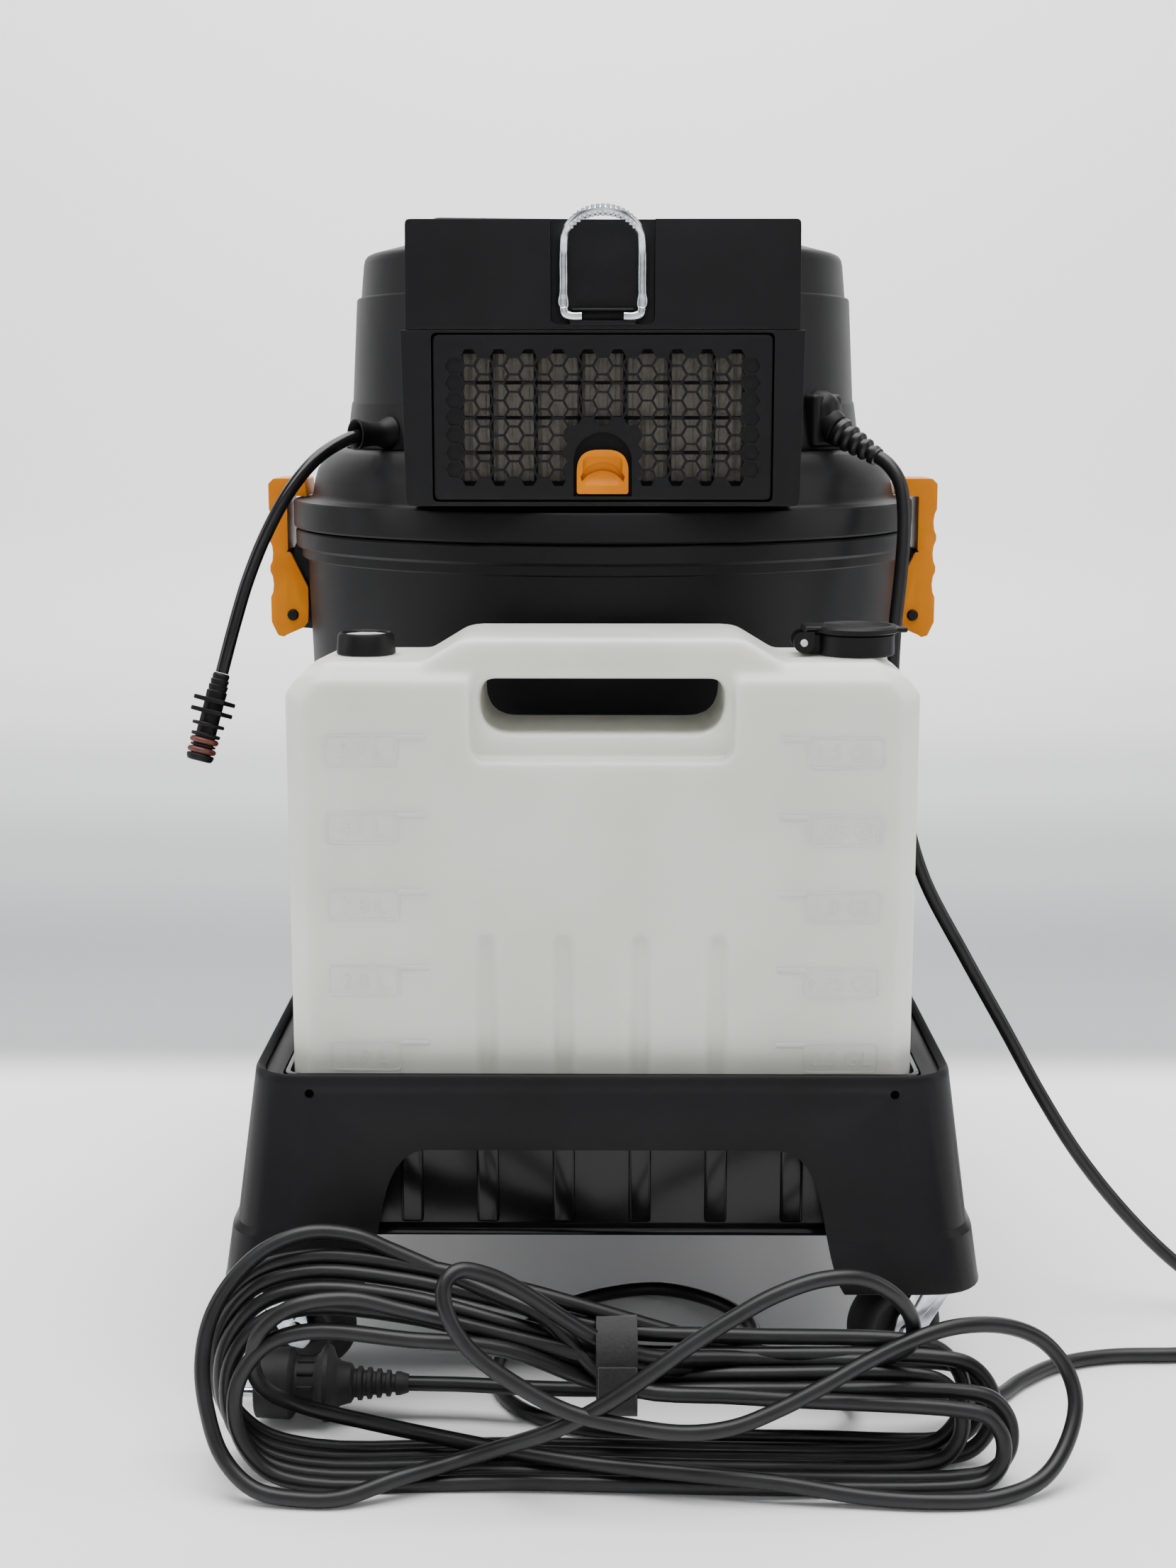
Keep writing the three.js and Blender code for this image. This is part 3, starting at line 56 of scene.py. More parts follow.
# ------------------------------------------------------------------ places from the frame
_, drum_high = node_box("drum")
lid_low, lid_high = node_box("head_lower_housing")
_, cover_high = node_box("head_upper_cover")
skirt_low, skirt_high = node_box("dolly_skirt")
tank_low, tank_high = node_box("solution_tank")
pocket_low, pocket_high = node_box("tank_pocket")
box_low, box_high = node_box("filter_box")
hook_low, hook_high = node_box("hook_panel")
door_low, door_high = node_box("filter_door")
plug_low, plug_high = node_box("mains_plug")
DRUM_Y = (lid_low.y + lid_high.y) / 2
COVER_R = cover_high.x
COVER_TOP = cover_high.z
BOX_REAR = box_low.y
TANK_MID_Y = (tank_low.y + tank_high.y) / 2
CORD_R = 3.75
CORD_FLOOR = CORD_R + 0.15


# ------------------------------------------------------------------ modelling helpers
def alone(obj):
    bpy.ops.object.select_all(action="DESELECT")
    obj.select_set(True)
    bpy.context.view_layer.objects.active = obj


def edit(obj):
    alone(obj)
    bpy.ops.object.mode_set(mode="EDIT")
    bpy.ops.mesh.select_all(action="SELECT")


def leave(obj):
    """back to object mode, with the place of the piece in its mesh"""
    bpy.ops.object.mode_set(mode="OBJECT")
    bpy.ops.object.transform_apply(location=True, rotation=True, scale=True)
    return obj


def tidy_faces():
    bpy.ops.mesh.select_all(action="SELECT")
    bpy.ops.mesh.remove_doubles(threshold=0.02 * MM)
    bpy.ops.mesh.normals_make_consistent(inside=False)


def chain(name, points):
    """edges through the points: one vertex, extruded from each point to the next"""
    bpy.ops.object.select_all(action="DESELECT")
    bpy.ops.mesh.primitive_plane_add(size=MM, location=Vector(points[0]) * MM)
    obj = bpy.context.object
    obj.name = name
    bpy.ops.object.mode_set(mode="EDIT")
    bpy.ops.mesh.select_all(action="SELECT")
    bpy.ops.mesh.merge(type="CENTER")
    for a, b in zip(points, points[1:]):
        step = (Vector(b) - Vector(a)) * MM
        bpy.ops.mesh.extrude_region_move(TRANSFORM_OT_translate={"value": step})
    return leave(obj)


def turned(name, profile, steps=96, at=(0, 0), turn=360):
    """a profile of (radius, height) spun about the vertical line through at"""
    obj = chain(name, [(at[0] + r, at[1], z) for r, z in profile])
    edit(obj)
    centre = (at[0] * MM, at[1] * MM, 0)
    bpy.ops.mesh.spin(steps=steps, angle=math.radians(turn), center=centre, axis=(0, 0, 1))
    tidy_faces()
    return leave(obj)


PLANES = {
    "x": lambda u, v, at: (at, u, v),
    "y": lambda u, v, at: (u, at, v),
    "z": lambda u, v, at: (u, v, at),
}
AXES = {"x": Vector((1, 0, 0)), "y": Vector((0, 1, 0)), "z": Vector((0, 0, 1))}


def slab(name, outline, axis, start, end):
    """a closed outline filled and pushed along an axis from start to end"""
    ring = [PLANES[axis](u, v, start) for u, v in [*outline, outline[0]]]
    obj = chain(name, ring)
    edit(obj)
    bpy.ops.mesh.remove_doubles(threshold=0.01 * MM)
    bpy.ops.mesh.edge_face_add()
    push = AXES[axis] * (end - start) * MM
    bpy.ops.mesh.extrude_region_move(TRANSFORM_OT_translate={"value": push})
    tidy_faces()
    return leave(obj)


def block(name, low, high):
    """a cube stretched between two corners, for bevelling or cutting"""
    low, high = Vector(low), Vector(high)
    bpy.ops.object.select_all(action="DESELECT")
    middle = (low + high) / 2 * MM
    bpy.ops.mesh.primitive_cube_add(size=1, location=middle, scale=(high - low) * MM)
    obj = bpy.context.object
    obj.name = name
    bpy.ops.object.transform_apply(location=True, rotation=True, scale=True)
    return obj


def round_bar(name, axis, radius, start, end, at, sides=48):
    """a round bar along x, y or z; at holds its place in the other two axes"""
    ring = arc(at[0], at[1], radius, 0, 360 - 360 / sides, sides - 1)
    return slab(name, ring, axis, start, end)


def arc(cx, cy, radius, start, end, steps):
    """points on a circle between two angles in degrees"""
    angles = [math.radians(start + (end - start) * i / steps) for i in range(steps + 1)]
    return [(cx + radius * math.cos(a), cy + radius * math.sin(a)) for a in angles]


def filleted(corners, steps=4):
    """an outline whose corners (x, y, radius) are rounded off"""
    points = []
    count = len(corners)
    for i, (x, y, *rest) in enumerate(corners):
        radius = rest[0] if rest else 0
        here = Vector((x, y))
        if radius == 0:
            points.append((x, y))
            continue
        before = Vector(corners[i - 1][:2]) - here
        after = Vector(corners[(i + 1) % count][:2]) - here
        half = before.angle(after) / 2
        reach = min(radius / math.tan(half), before.length * 0.49, after.length * 0.49)
        a = here + before.normalized() * reach
        b = here + after.normalized() * reach
        for k in range(steps + 1):
            t = k / steps
            curve = a * (1 - t) ** 2 + here * 2 * t * (1 - t) + b * t * t
            points.append(tuple(curve))
    return points


def rounded_box(x0, x1, y0, y1, *radii):
    """corners for filleted(), from the low left corner round the outline"""
    if len(radii) == 1:
        radii = radii * 4
    spots = [(x0, y0), (x1, y0), (x1, y1), (x0, y1)]
    return [(x, y, r) for (x, y), r in zip(spots, radii)]


def rounded_slab(name, box, axis, start, end):
    """a slab of a rounded rectangle; box is what rounded_box() takes"""
    return slab(name, filleted(rounded_box(*box)), axis, start, end)


def modify(obj, kind, **settings):
    alone(obj)
    modifier = obj.modifiers.new(kind.lower(), kind)
    for key, value in settings.items():
        setattr(modifier, key, value)
    bpy.ops.object.modifier_apply(modifier=modifier.name)
    return obj


def combine(obj, tool, operation):
    """a boolean, tried with the second solver where the first one leaves nothing"""
    before = obj.data.copy()
    modify(obj, "BOOLEAN", operation=operation, solver="EXACT", object=tool)
    if not obj.data.vertices:
        obj.data = before
        modify(obj, "BOOLEAN", operation=operation, solver="MANIFOLD", object=tool)
    bpy.data.objects.remove(tool)
    return obj


def cut(obj, *tools):
    for tool in tools:
        combine(obj, tool, "DIFFERENCE")
    return obj


def weld(obj, *others):
    for other in others:
        combine(obj, other, "UNION")
    return obj


def gather(obj, *others):
    """several meshes as one piece, left as separate shells"""
    alone(obj)
    for other in others:
        other.select_set(True)
    bpy.ops.object.join()
    return obj


def softened(obj, width, segments=3, angle=32):
    return modify(
        obj, "BEVEL", width=width * MM, segments=segments, limit_method="ANGLE",
        angle_limit=math.radians(angle), use_clamp_overlap=True,
    )


def moved(obj, matrix):
    obj.data.transform(matrix)
    return obj


def copy_of(obj, name):
    twin = obj.copy()
    twin.data = obj.data.copy()
    twin.name = name
    bpy.context.collection.objects.link(twin)
    return twin


def mirrored(obj, name):
    twin = moved(copy_of(obj, name), Matrix.Scale(-1, 4, (1, 0, 0)))
    edit(twin)
    bpy.ops.mesh.normals_make_consistent(inside=False)
    return leave(twin)


def place_mm(x, y, z):
    return Matrix.Translation(Vector((x, y, z)) * MM)


def smooth_tube(name, points, radius, sides=12, per_span=8):
    """a round wire or cord through the points, as a curve of one spline"""
    path = flowing(points, per_span)
    data = bpy.data.curves.new(name, "CURVE")
    data.dimensions = "3D"
    data.bevel_depth = radius * MM
    data.bevel_resolution = sides // 4
    data.use_fill_caps = True
    spline = data.splines.new("POLY")
    spline.points.add(len(path) - 1)
    for point, at in zip(spline.points, path):
        point.co = (*(at * MM), 1)
    spline.use_smooth = True
    obj = bpy.data.objects.new(name, data)
    bpy.context.collection.objects.link(obj)
    return obj


def flowing(points, per_span):
    """a centripetal curve through every point"""
    points = [Vector(p) for p in points]
    ends = [points[0] * 2 - points[1], *points, points[-1] * 2 - points[-2]]
    path = []
    for p0, p1, p2, p3 in zip(ends, ends[1:], ends[2:], ends[3:]):
        t1 = math.sqrt((p1 - p0).length)
        t2 = t1 + math.sqrt((p2 - p1).length)
        t3 = t2 + math.sqrt((p3 - p2).length)
        for k in range(per_span):
            t = t1 + (t2 - t1) * k / per_span
            a1 = p0 * ((t1 - t) / t1) + p1 * (t / t1)
            a2 = p1 * ((t2 - t) / (t2 - t1)) + p2 * ((t - t1) / (t2 - t1))
            a3 = p2 * ((t3 - t) / (t3 - t2)) + p3 * ((t - t2) / (t3 - t2))
            b1 = a1 * ((t2 - t) / t2) + a2 * (t / t2)
            b2 = a2 * ((t3 - t) / (t3 - t1)) + a3 * ((t - t1) / (t3 - t1))
            path.append(b1 * ((t2 - t) / (t2 - t1)) + b2 * ((t - t1) / (t2 - t1)))
    path.append(points[-1])
    return path


def as_mesh(obj):
    alone(obj)
    bpy.ops.object.convert(target="MESH")
    return obj


def finish_piece(obj, body, slot, look, *nodes, angle=35):
    """smooth the piece, give it its material and hang it on its body"""
    if obj.type == "MESH":
        alone(obj)
        bpy.ops.object.shade_smooth_by_angle(angle=math.radians(angle))
    obj.data.materials.clear()
    obj.data.materials.append(look)
    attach(obj, body)
    if nodes:
        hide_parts(*nodes)
    return obj


# ------------------------------------------------------------------ camera
EYE = Vector((0, -1202.5, 492)) * MM
PITCH_DOWN = 10.3
YAW_LEFT = 0.39
camera_data = bpy.data.cameras.new("rear_view")
camera_data.lens = 48.8
camera_data.sensor_width = 36
camera_data.dof.use_dof = False
camera = bpy.data.objects.new("rear_view", camera_data)
bpy.context.collection.objects.link(camera)
camera.location = EYE
camera.rotation_euler = (math.radians(90 - PITCH_DOWN), 0, math.radians(YAW_LEFT))
bpy.context.scene.camera = camera


# ------------------------------------------------------------------ materials
def linear(hex_colour):
    """sRGB hex to linear RGBA"""
    channels = [int(hex_colour[i:i + 2], 16) / 255 for i in (0, 2, 4)]
    values = [c / 12.92 if c <= 0.04045 else ((c + 0.055) / 1.055) ** 2.4 for c in channels]
    return (*values, 1)


def add(tree, kind, links=None, **settings):
    """one shader node, with its settings; links maps a socket to a value or an output"""
    made = tree.nodes.new(kind)
    for key, value in settings.items():
        setattr(made, key, value)
    for socket, value in (links or {}).items():
        if isinstance(value, bpy.types.NodeSocket):
            tree.links.new(value, made.inputs[socket])
        else:
            made.inputs[socket].default_value = value
    return made


def per_mm(size):
    """texture scale for a feature of this size in millimetres"""
    return 1 / (size * MM)


def surface(name, colour, rough, **extra):
    """a material with its output and one Principled shader"""
    made = bpy.data.materials.new(name)
    made.use_nodes = True
    tree = made.node_tree
    tree.nodes.clear()
    shader = add(
        tree, "ShaderNodeBsdfPrincipled", {"Base Color": linear(colour), "Roughness": rough, **extra},
    )
    add(tree, "ShaderNodeOutputMaterial", {"Surface": shader.outputs[0]})
    return made, tree, shader


def mottled(tree, shader, dark, light, size, low=0.35, high=0.65):
    """colour wandering between two shades over patches of a size in mm"""
    where = add(tree, "ShaderNodeTexCoord")
    noise = add(
        tree, "ShaderNodeTexNoise",
        {"Vector": where.outputs["Object"], "Scale": per_mm(size), "Detail": 4.0},
    )
    ramp = add(tree, "ShaderNodeValToRGB", {"Fac": noise.outputs["Fac"]})
    ramp.color_ramp.elements[0].position = low
    ramp.color_ramp.elements[0].color = linear(dark)
    ramp.color_ramp.elements[1].position = high
    ramp.color_ramp.elements[1].color = linear(light)
    tree.links.new(ramp.outputs["Color"], shader.inputs["Base Color"])
    return where


def grained(tree, shader, where, size, strength, rough_low, rough_high, depth=0.1):
    """fine surface grain, and roughness that varies over larger patches"""
    grain = add(
        tree, "ShaderNodeTexNoise",
        {"Vector": where.outputs["Object"], "Scale": per_mm(size), "Detail": 3.0},
    )
    bump = add(
        tree, "ShaderNodeBump",
        {"Strength": strength, "Distance": depth * MM, "Height": grain.outputs["Fac"]},
    )
    tree.links.new(bump.outputs["Normal"], shader.inputs["Normal"])
    patch = add(
        tree, "ShaderNodeTexNoise", {"Vector": where.outputs["Object"], "Scale": per_mm(35), "Detail": 5.0},
    )
    spread = add(
        tree, "ShaderNodeMapRange",
        {"Value": patch.outputs["Fac"], "To Min": rough_low, "To Max": rough_high},
    )
    tree.links.new(spread.outputs["Result"], shader.inputs["Roughness"])


def material(name, colour, rough, mottle, grain, depth=0.1, **extra):
    """mottle: dark shade, light shade, patch size; grain: size, strength, least and most roughness"""
    made, tree, shader = surface(name, colour, rough, **extra)
    grained(tree, shader, mottled(tree, shader, *mottle), *grain, depth)
    return made


def plastic(ior, specular):
    return {"IOR": ior, "Specular IOR Level": specular}


# Injection-moulded polypropylene with a spark-eroded skin: a soft broad sheen with no
# sharp reflections. The real grain is about 0.15 mm, drawn at 0.9 mm so that it shows.
SATIN = material(
    "polypropylene_satin_black", "0e0e10", 0.5, ("0c0c0e", "111113", 60), (0.9, 0.10, 0.42, 0.52),
    **plastic(1.49, 0.2),
)
# Polished-tool ABS: a clear mirror-like sheen over deep black, faint swirl in the gloss.
GLOSS = material(
    "abs_gloss_black", "0c0c0e", 0.16, ("0b0b0d", "121214", 40), (6, 0.05, 0.12, 0.24),
    **plastic(1.53, 0.25),
)
# Moulded amber ABS: warm semi-gloss, a little deeper in the shade of its own thickness.
AMBER = material(
    "abs_moulded_amber", "d07a00", 0.4, ("ca7400", "d88000", 25), (1.2, 0.06, 0.36, 0.48),
    **plastic(1.53, 0.12),
)
# Natural HDPE, blow moulded: milky, light soaks in and glows at edges and thin walls,
# with a faintly uneven waxy skin.
HDPE = material(
    "hdpe_natural_blow_moulded", "dedfd6", 0.38, ("d9dad0", "e3e3da", 70), (14, 0.10, 0.30, 0.44), 0.4,
    **{"IOR": 1.54, "Subsurface Weight": 0.55, "Subsurface Scale": 0.012},
    **{"Subsurface Radius": (1.0, 0.95, 0.85)},
)
# The same plastic in the raised marks, too thin to glow: the tank's milky white, flat.
HDPE_RAISED = material(
    "hdpe_natural_raised_marks", "d4d4cd", 0.45, ("d1d1c9", "d8d8d1", 20), (3, 0.05, 0.4, 0.5),
    **plastic(1.54, 0.3),
)
# Bright zinc-plated steel wire and pressings: cool, blue-grey mirror with soft streaks.
ZINC = material(
    "steel_zinc_plated", "c8ccd0", 0.2, ("b4babf", "d9dcdf", 5), (0.8, 0.05, 0.14, 0.3), Metallic=1.0,
)
# Plasticised PVC sheath: dark, slightly waxy, with a long soft highlight along the cord.
SHEATH = material(
    "pvc_cord_sheath", "0e0e0f", 0.34, ("0e0e0f", "171719", 18), (1.6, 0.07, 0.34, 0.46),
    **plastic(1.52, 0.35),
)
# The same PVC on the solution hose, extruded smoother and shinier.
HOSE_SKIN = material(
    "pvc_hose_glossy", "0f0f10", 0.16, ("0f0f10", "171719", 18), (1.6, 0.07, 0.16, 0.26),
    **plastic(1.52, 0.35),
)
# Moulded rubber: nearly flat black that scatters light, with faint bloom.
RUBBER = material(
    "rubber_moulded_black", "141414", 0.72, ("111111", "1c1c1c", 8), (0.9, 0.16, 0.62, 0.8), IOR=1.5,
)
# Iron-oxide filled seal rubber: red-brown with the damp shine of silicone grease.
SEAL = material(
    "rubber_seal_red_brown", "5a2b22", 0.35, ("4c231c", "6a362b", 3), (0.6, 0.08, 0.28, 0.42), IOR=1.45,
)
# Pleated cellulose filter paper: matt grey-beige with a felted fibre grain.
PAPER = material("cellulose_filter_paper", "e6e3da", 0.95, ("dad6cb", "efece4", 2.4), (0.8, 0.35, 0.9, 1.0))
# Woven nylon hook-and-loop tape: flat black with a tight nap.
NAP = material(
    "nylon_hook_and_loop", "131313", 0.9, ("0e0e0e", "1d1d1d", 1.6), (0.9, 0.6, 0.85, 0.95), 0.3,
    **{"Sheen Weight": 0.25},
)
# Sheet steel of the motor can: dull grey with a rolled sheen.
SHEET_STEEL = material(
    "steel_rolled_sheet", "7d8084", 0.4, ("707377", "8b8e92", 12), (1.0, 0.08, 0.34, 0.5), Metallic=0.9,
)


def finish_black(obj, *nodes, **smoothing):
    """a fixed moulding of the machine in the satin black"""
    return finish_piece(obj, "machine", "satin_black", SATIN, *nodes, **smoothing)


# ------------------------------------------------------------------ mains lead
def about_drum(degrees, radius, z):
    turn = math.radians(degrees)
    return (radius * math.cos(turn), DRUM_Y + radius * math.sin(turn), z)


CORD_ANGLE = 324.2
CORD_Z = 481
CORD_DROOP = math.radians(29)
BOSS_FOOT = COVER_R - 4
BOSS_NOSE = 14
BOOT_LENGTH = 28


def along_boot(reach):
    """a point so far along the drooping centre line of the strain relief"""
    radius = BOSS_FOOT + reach * math.cos(CORD_DROOP)
    return about_drum(CORD_ANGLE, radius, CORD_Z - reach * math.sin(CORD_DROOP))


BOOT_TIP = BOSS_NOSE + BOOT_LENGTH
LEAD = [
    along_boot(BOOT_TIP - 6), along_boot(BOOT_TIP + 7), (158.5, -58, 447), (160.5, -63, 428),
    (159, -67, 400), (156, -71, 370), (155, -75, 335), (158, -79, 300), (164, -81, 267),
    (174, -82, 236), (196, -86, 195), (218, -92, 156), (238, -97, 120), (259, -100, 87),
    (284, -102, 56), (311, -103, 29), (336, -107, 11), (354, -119, CORD_FLOOR),
    (359, -138, CORD_FLOOR), (349, -156, CORD_FLOOR), (328, -166, CORD_FLOOR),
    (298, -169, CORD_FLOOR), (262, -171, CORD_FLOOR), (234, -181, CORD_FLOOR),
    (212, -199, CORD_FLOOR), (196, -218, 4.5), (176, -236, 11), (148, -250, 26), (112, -259, 42),
    (66, -263, 50),
]
FLOOR_LOOP = [
    (21, -281, 50), (52, -270, 42), (84, -262, 34), (112, -250, 20), (122, -232, 8), (112, -208, CORD_FLOOR),
    (90, -184, CORD_FLOOR), (81, -160, CORD_FLOOR), (80, -134, CORD_FLOOR), (64, -106, CORD_FLOOR),
    (33, -88, CORD_FLOOR), (0, -96, CORD_FLOOR), (-27, -118, CORD_FLOOR), (-46, -150, CORD_FLOOR),
    (-54, -190, CORD_FLOOR), (-44, -226, CORD_FLOOR), (-14, -249, CORD_FLOOR), (40, -258, CORD_FLOOR),
    (100, -260, CORD_FLOOR),
]
TIE_X = 7


def end_arc(cx, radius, start, end, y_low, y_high, low=CORD_FLOOR):
    """the round end of a turn standing on the floor, leaning back as it rises"""
    points = []
    for x, z in arc(cx, low + radius, radius, start, end, 5):
        rise = (z - low) / (2 * radius)
        points.append((x, y_low + (y_high - y_low) * rise, z))
    return points


def hank_turn(left, left_top, right, right_top, y_low, y_left, y_right, tie_y, tie_z):
    """one turn: from the tie over the left end, along the floor, over the right end, to the tie"""
    left_r = (left_top - CORD_FLOOR) / 2
    right_r = (right_top - CORD_FLOOR) / 2
    points = [(-44, (y_left + 2 * tie_y) / 3, (left_top + tie_z) / 2 + 4)]
    points += [(left + left_r + 46, y_left, left_top - 4)]
    points += end_arc(left + left_r, left_r, 90, 270, y_low, y_left)
    points += [(-40, y_low + 2, CORD_FLOOR), (70, y_low - 2, CORD_FLOOR)]
    points += end_arc(right - right_r, right_r, -90, 90, y_low, y_right)
    return points + [(66, (y_right + tie_y) / 2, (right_top + tie_z) / 2), (TIE_X, tie_y, tie_z)]


TURNS = [
    # left end, its height, right end, its height; depth below, at the left top and at the
    # right top; depth and height at the tie
    (-183, 97, 171, 55, -270, -265, -264, -268, 62),
    (-181, 91, 184, 49, -278, -269, -269, -268, 52),
    (-177, 85, 168, 44, -287, -275, -277, -275, 44),
    (-173, 79, 189, 40, -296, -282, -286, -284, 41),
    (-168, 72, 184, 36, -305, -292, -296, -292, 47),
]
# the loose outer turn: over the left end, along the floor, and across the front to a high bow
OUTER_TURN = [
    (-26, -277, 72), (-48, -271, 80), (-73, -266, 89), (-97, -264, 99), (-116, -264, 107), (-137, -266, 109),
    (-157, -270, 102), (-171, -277, 90), (-180, -285, 75), (-183, -293, 57), (-180, -301, 38),
    (-172, -309, 19), (-157, -316, 7), (-135, -319, CORD_FLOOR), (-117, -319, 4.6), (-92, -311, 10),
    (-66, -301, 13), (-45, -303, 21), (-20, -315, 36), (0, -317, 48), (21, -315, 62), (39, -311, 74),
    (58, -307, 85), (78, -303, 95), (100, -299, 101), (118, -295, 99.5), (132, -291, 91), (142, -286, 77),
    (143, -280, 61), (130, -274, 51), (109, -270, 48), (82, -269, 48), (55, -274, 51), (21, -283, 56),
]
# the front strand: a small bow to the left of the tie, then the wide loop at the right end
FRONT_STRAND = [
    (-2, -286, 66), (-15, -288, 75), (-36, -291, 91), (-52, -294, 100.5), (-65, -298, 104), (-71, -303, 99),
    (-69, -309, 88), (-59, -313, 73), (-41, -316, 60), (-15, -318, 46), (13, -318, 39), (39, -318, 36),
    (60, -316, 38), (79, -312, 44), (100, -307, 53), (119, -300, 61), (144, -291, 69), (166, -282, 71),
    (189, -275, 67.5), (206, -272, 59), (217, -274, 46), (220, -282, 33), (213, -295, 18), (200, -307, 8),
    (178, -316, CORD_FLOOR), (151, -319, CORD_FLOOR), (118, -317, 5), (79, -314, 10), (40, -310, 12),
    (0, -302, 12), (-37, -292, 12.5), (-73, -281, 14), (-108, -274, 18), (-142, -276, 28), (-156, -286, 41),
    (-160, -292, 56), (-156, -293, 72), (-142, -291, 83), (-116, -288, 86), (-93, -286, 80),
    (-66, -285, 72.5),
    (-26, -285, 62), (-2, -285, 56),
]


def hank():
    points = []
    for turn in TURNS:
        points += hank_turn(*turn)
    return points + OUTER_TURN + FRONT_STRAND


def last_turn():
    """the turn that comes back from the floor loop and ends in the plug"""
    points = end_arc(181 - 19, 19, -90, 90, -261, -259)
    points += [(128, -257, 40), (84, -255, 33), (40, -251, 26), (0, -246, 21.5), (-36, -240, 19.2)]
    return points + [
        (-66, -236, 18.8), (plug_high.x - 2, (plug_low.y + plug_high.y) / 2, plug_high.z / 2 + 0.1),
    ]


CORD_PATH = [*LEAD, *hank(), *FLOOR_LOOP, *last_turn()]
mains_lead = smooth_tube("mains_lead", CORD_PATH, CORD_R, per_span=6)
finish_piece(
    mains_lead, "machine", "pvc_black", SHEATH, "cord_lead", "cord_hank", "cord_floor_loop", "cord_tail",
)

# ------------------------------------------------------------------ solution hose
HOSE_R = 3.5
PORT_ANGLE = 218.5
PORT_Z = 472.5
HOSE = [about_drum(PORT_ANGLE, COVER_R + out, PORT_Z - down) for out, down in (
    (8, 0), (14, 0), (23, 1.5), (43, 11), (61, 28), (76, 50), (88, 74), (97, 98), (105, 122),
)]
solution_hose = smooth_tube("solution_hose_tube", HOSE, HOSE_R)
finish_piece(solution_hose, "machine", "pvc_black", HOSE_SKIN, "solution_hose")


# ------------------------------------------------------------------ dolly skirt
LIP_Z = skirt_high.z
SKIRT_FOOT = skirt_low.z
LIP_HALF = skirt_high.x - 17
LIP_REAR = skirt_low.y + 17
LIP_FRONT = skirt_high.y - 17
DECK_TOP = 167
WALL_T = 4
INLET_Z = 330


def skirt():
    """a flared tray with a turned-out foot, hollow under its deck"""
    plan = filleted(rounded_box(-LIP_HALF, LIP_HALF, LIP_REAR, LIP_FRONT, 26, 26, 70, 70), steps=8)
    obj = chain("skirt_shell", [(x, y, LIP_Z) for x, y in [*plan, plan[0]]])
    edit(obj)
    bpy.ops.mesh.remove_doubles(threshold=0.01 * MM)
    mid = (0, (LIP_REAR + LIP_FRONT) / 2 * MM, 0)
    half_y = (LIP_FRONT - LIP_REAR) / 2
    # height and how far the wall stands out from the lip
    levels = [
        (LIP_Z, 0), (169, 1.2), (166, 1.6), (95.5, 10.6), (92.5, 13), (70, 16.2), (66.8, 16.9),
        (SKIRT_FOOT, 16.2),
    ]
    for (z0, out0), (z1, out1) in zip(levels, levels[1:]):
        bpy.ops.mesh.extrude_region_move(TRANSFORM_OT_translate={"value": (0, 0, (z1 - z0) * MM)})
        scale = ((LIP_HALF + out1) / (LIP_HALF + out0), (half_y + out1) / (half_y + out0), 1)
        bpy.ops.transform.resize(value=scale, center_override=mid)
    tidy_faces()
    leave(obj)
    modify(obj, "SOLIDIFY", thickness=WALL_T * MM, offset=-1)
    deck_plan = [(x * 0.985, y * 0.988) for x, y in plan]
    deck = slab("deck", deck_plan, "z", DECK_TOP - WALL_T, DECK_TOP)
    cut(deck, round_bar("seat_hole", "z", 168, 100, 200, (0, DRUM_Y), 96))
    weld(obj, deck)
    well = filleted(
        rounded_box(pocket_low.x - 0.3, pocket_high.x + 0.3, pocket_low.y, pocket_high.y + 0.3, 9),
    )
    cut(obj, slab("well_hole", well, "z", 40, 220))
    arch = [(-119, SKIRT_FOOT - 5)]
    for k in range(13):
        t = k / 12
        weights = ((1 - t) ** 3, 3 * t * (1 - t) ** 2, 3 * t * t * (1 - t), t ** 3)
        x = sum(w * v for w, v in zip(weights, (-118, -104, -112, -84)))
        z = sum(w * v for w, v in zip(weights, (65, 82, 135, 135)))
        arch.append((x, z))
    arch += [(-x, z) for x, z in reversed(arch)]
    cut(obj, slab("rear_arch", arch, "y", LIP_REAR - 40, LIP_REAR + 15))
    side = filleted(rounded_box(-105, 112, 20, 100, 30), steps=8)
    cut(obj, slab("side_arch", side, "x", -230, 230))
    for side_x in (-1, 1):
        # the small drain hole at each rear corner of the lip
        cut(obj, round_bar("lip_hole", "y", 2.2, LIP_REAR - 6, LIP_REAR + 8, (side_x * 141, LIP_Z - 9), 20))
    return softened(obj, 0.9, 2, 40)


skirt_shell = skirt()
finish_black(skirt_shell)


# the bowl in the deck that the drum stands in
SEAT_R = 166
SEAT_FOOT = 106.7
drum_seat = turned("drum_seat", [
    (0, SEAT_FOOT), (SEAT_R + 3, SEAT_FOOT), (SEAT_R + 3, DECK_TOP - 0.5), (SEAT_R + 1.5, DECK_TOP + 0.6),
    (SEAT_R, DECK_TOP - 0.5), (SEAT_R - 0.2, SEAT_FOOT + 3), (0, SEAT_FOOT + 3),
], at=(0, DRUM_Y))
well_room = block(
    "well_room", (pocket_low.x - 1, pocket_low.y - 1, 60), (pocket_high.x + 1, pocket_high.y + 0.3, 220),
)
cut(drum_seat, well_room)
finish_black(drum_seat)


def caster_post(x, y):
    post = round_bar("post", "z", 9, 66, 106, (x, y), 32)
    reach = math.copysign(175.5, x)
    rib = block("rib", (min(x, reach), y - 5, 70), (max(x, reach), y + 5, 106))
    weld(post, rib)
    cut(post, round_bar("stem_hole", "z", 4.8, 60, 96, (x, y), 24))
    return softened(post, 0.8, 2)


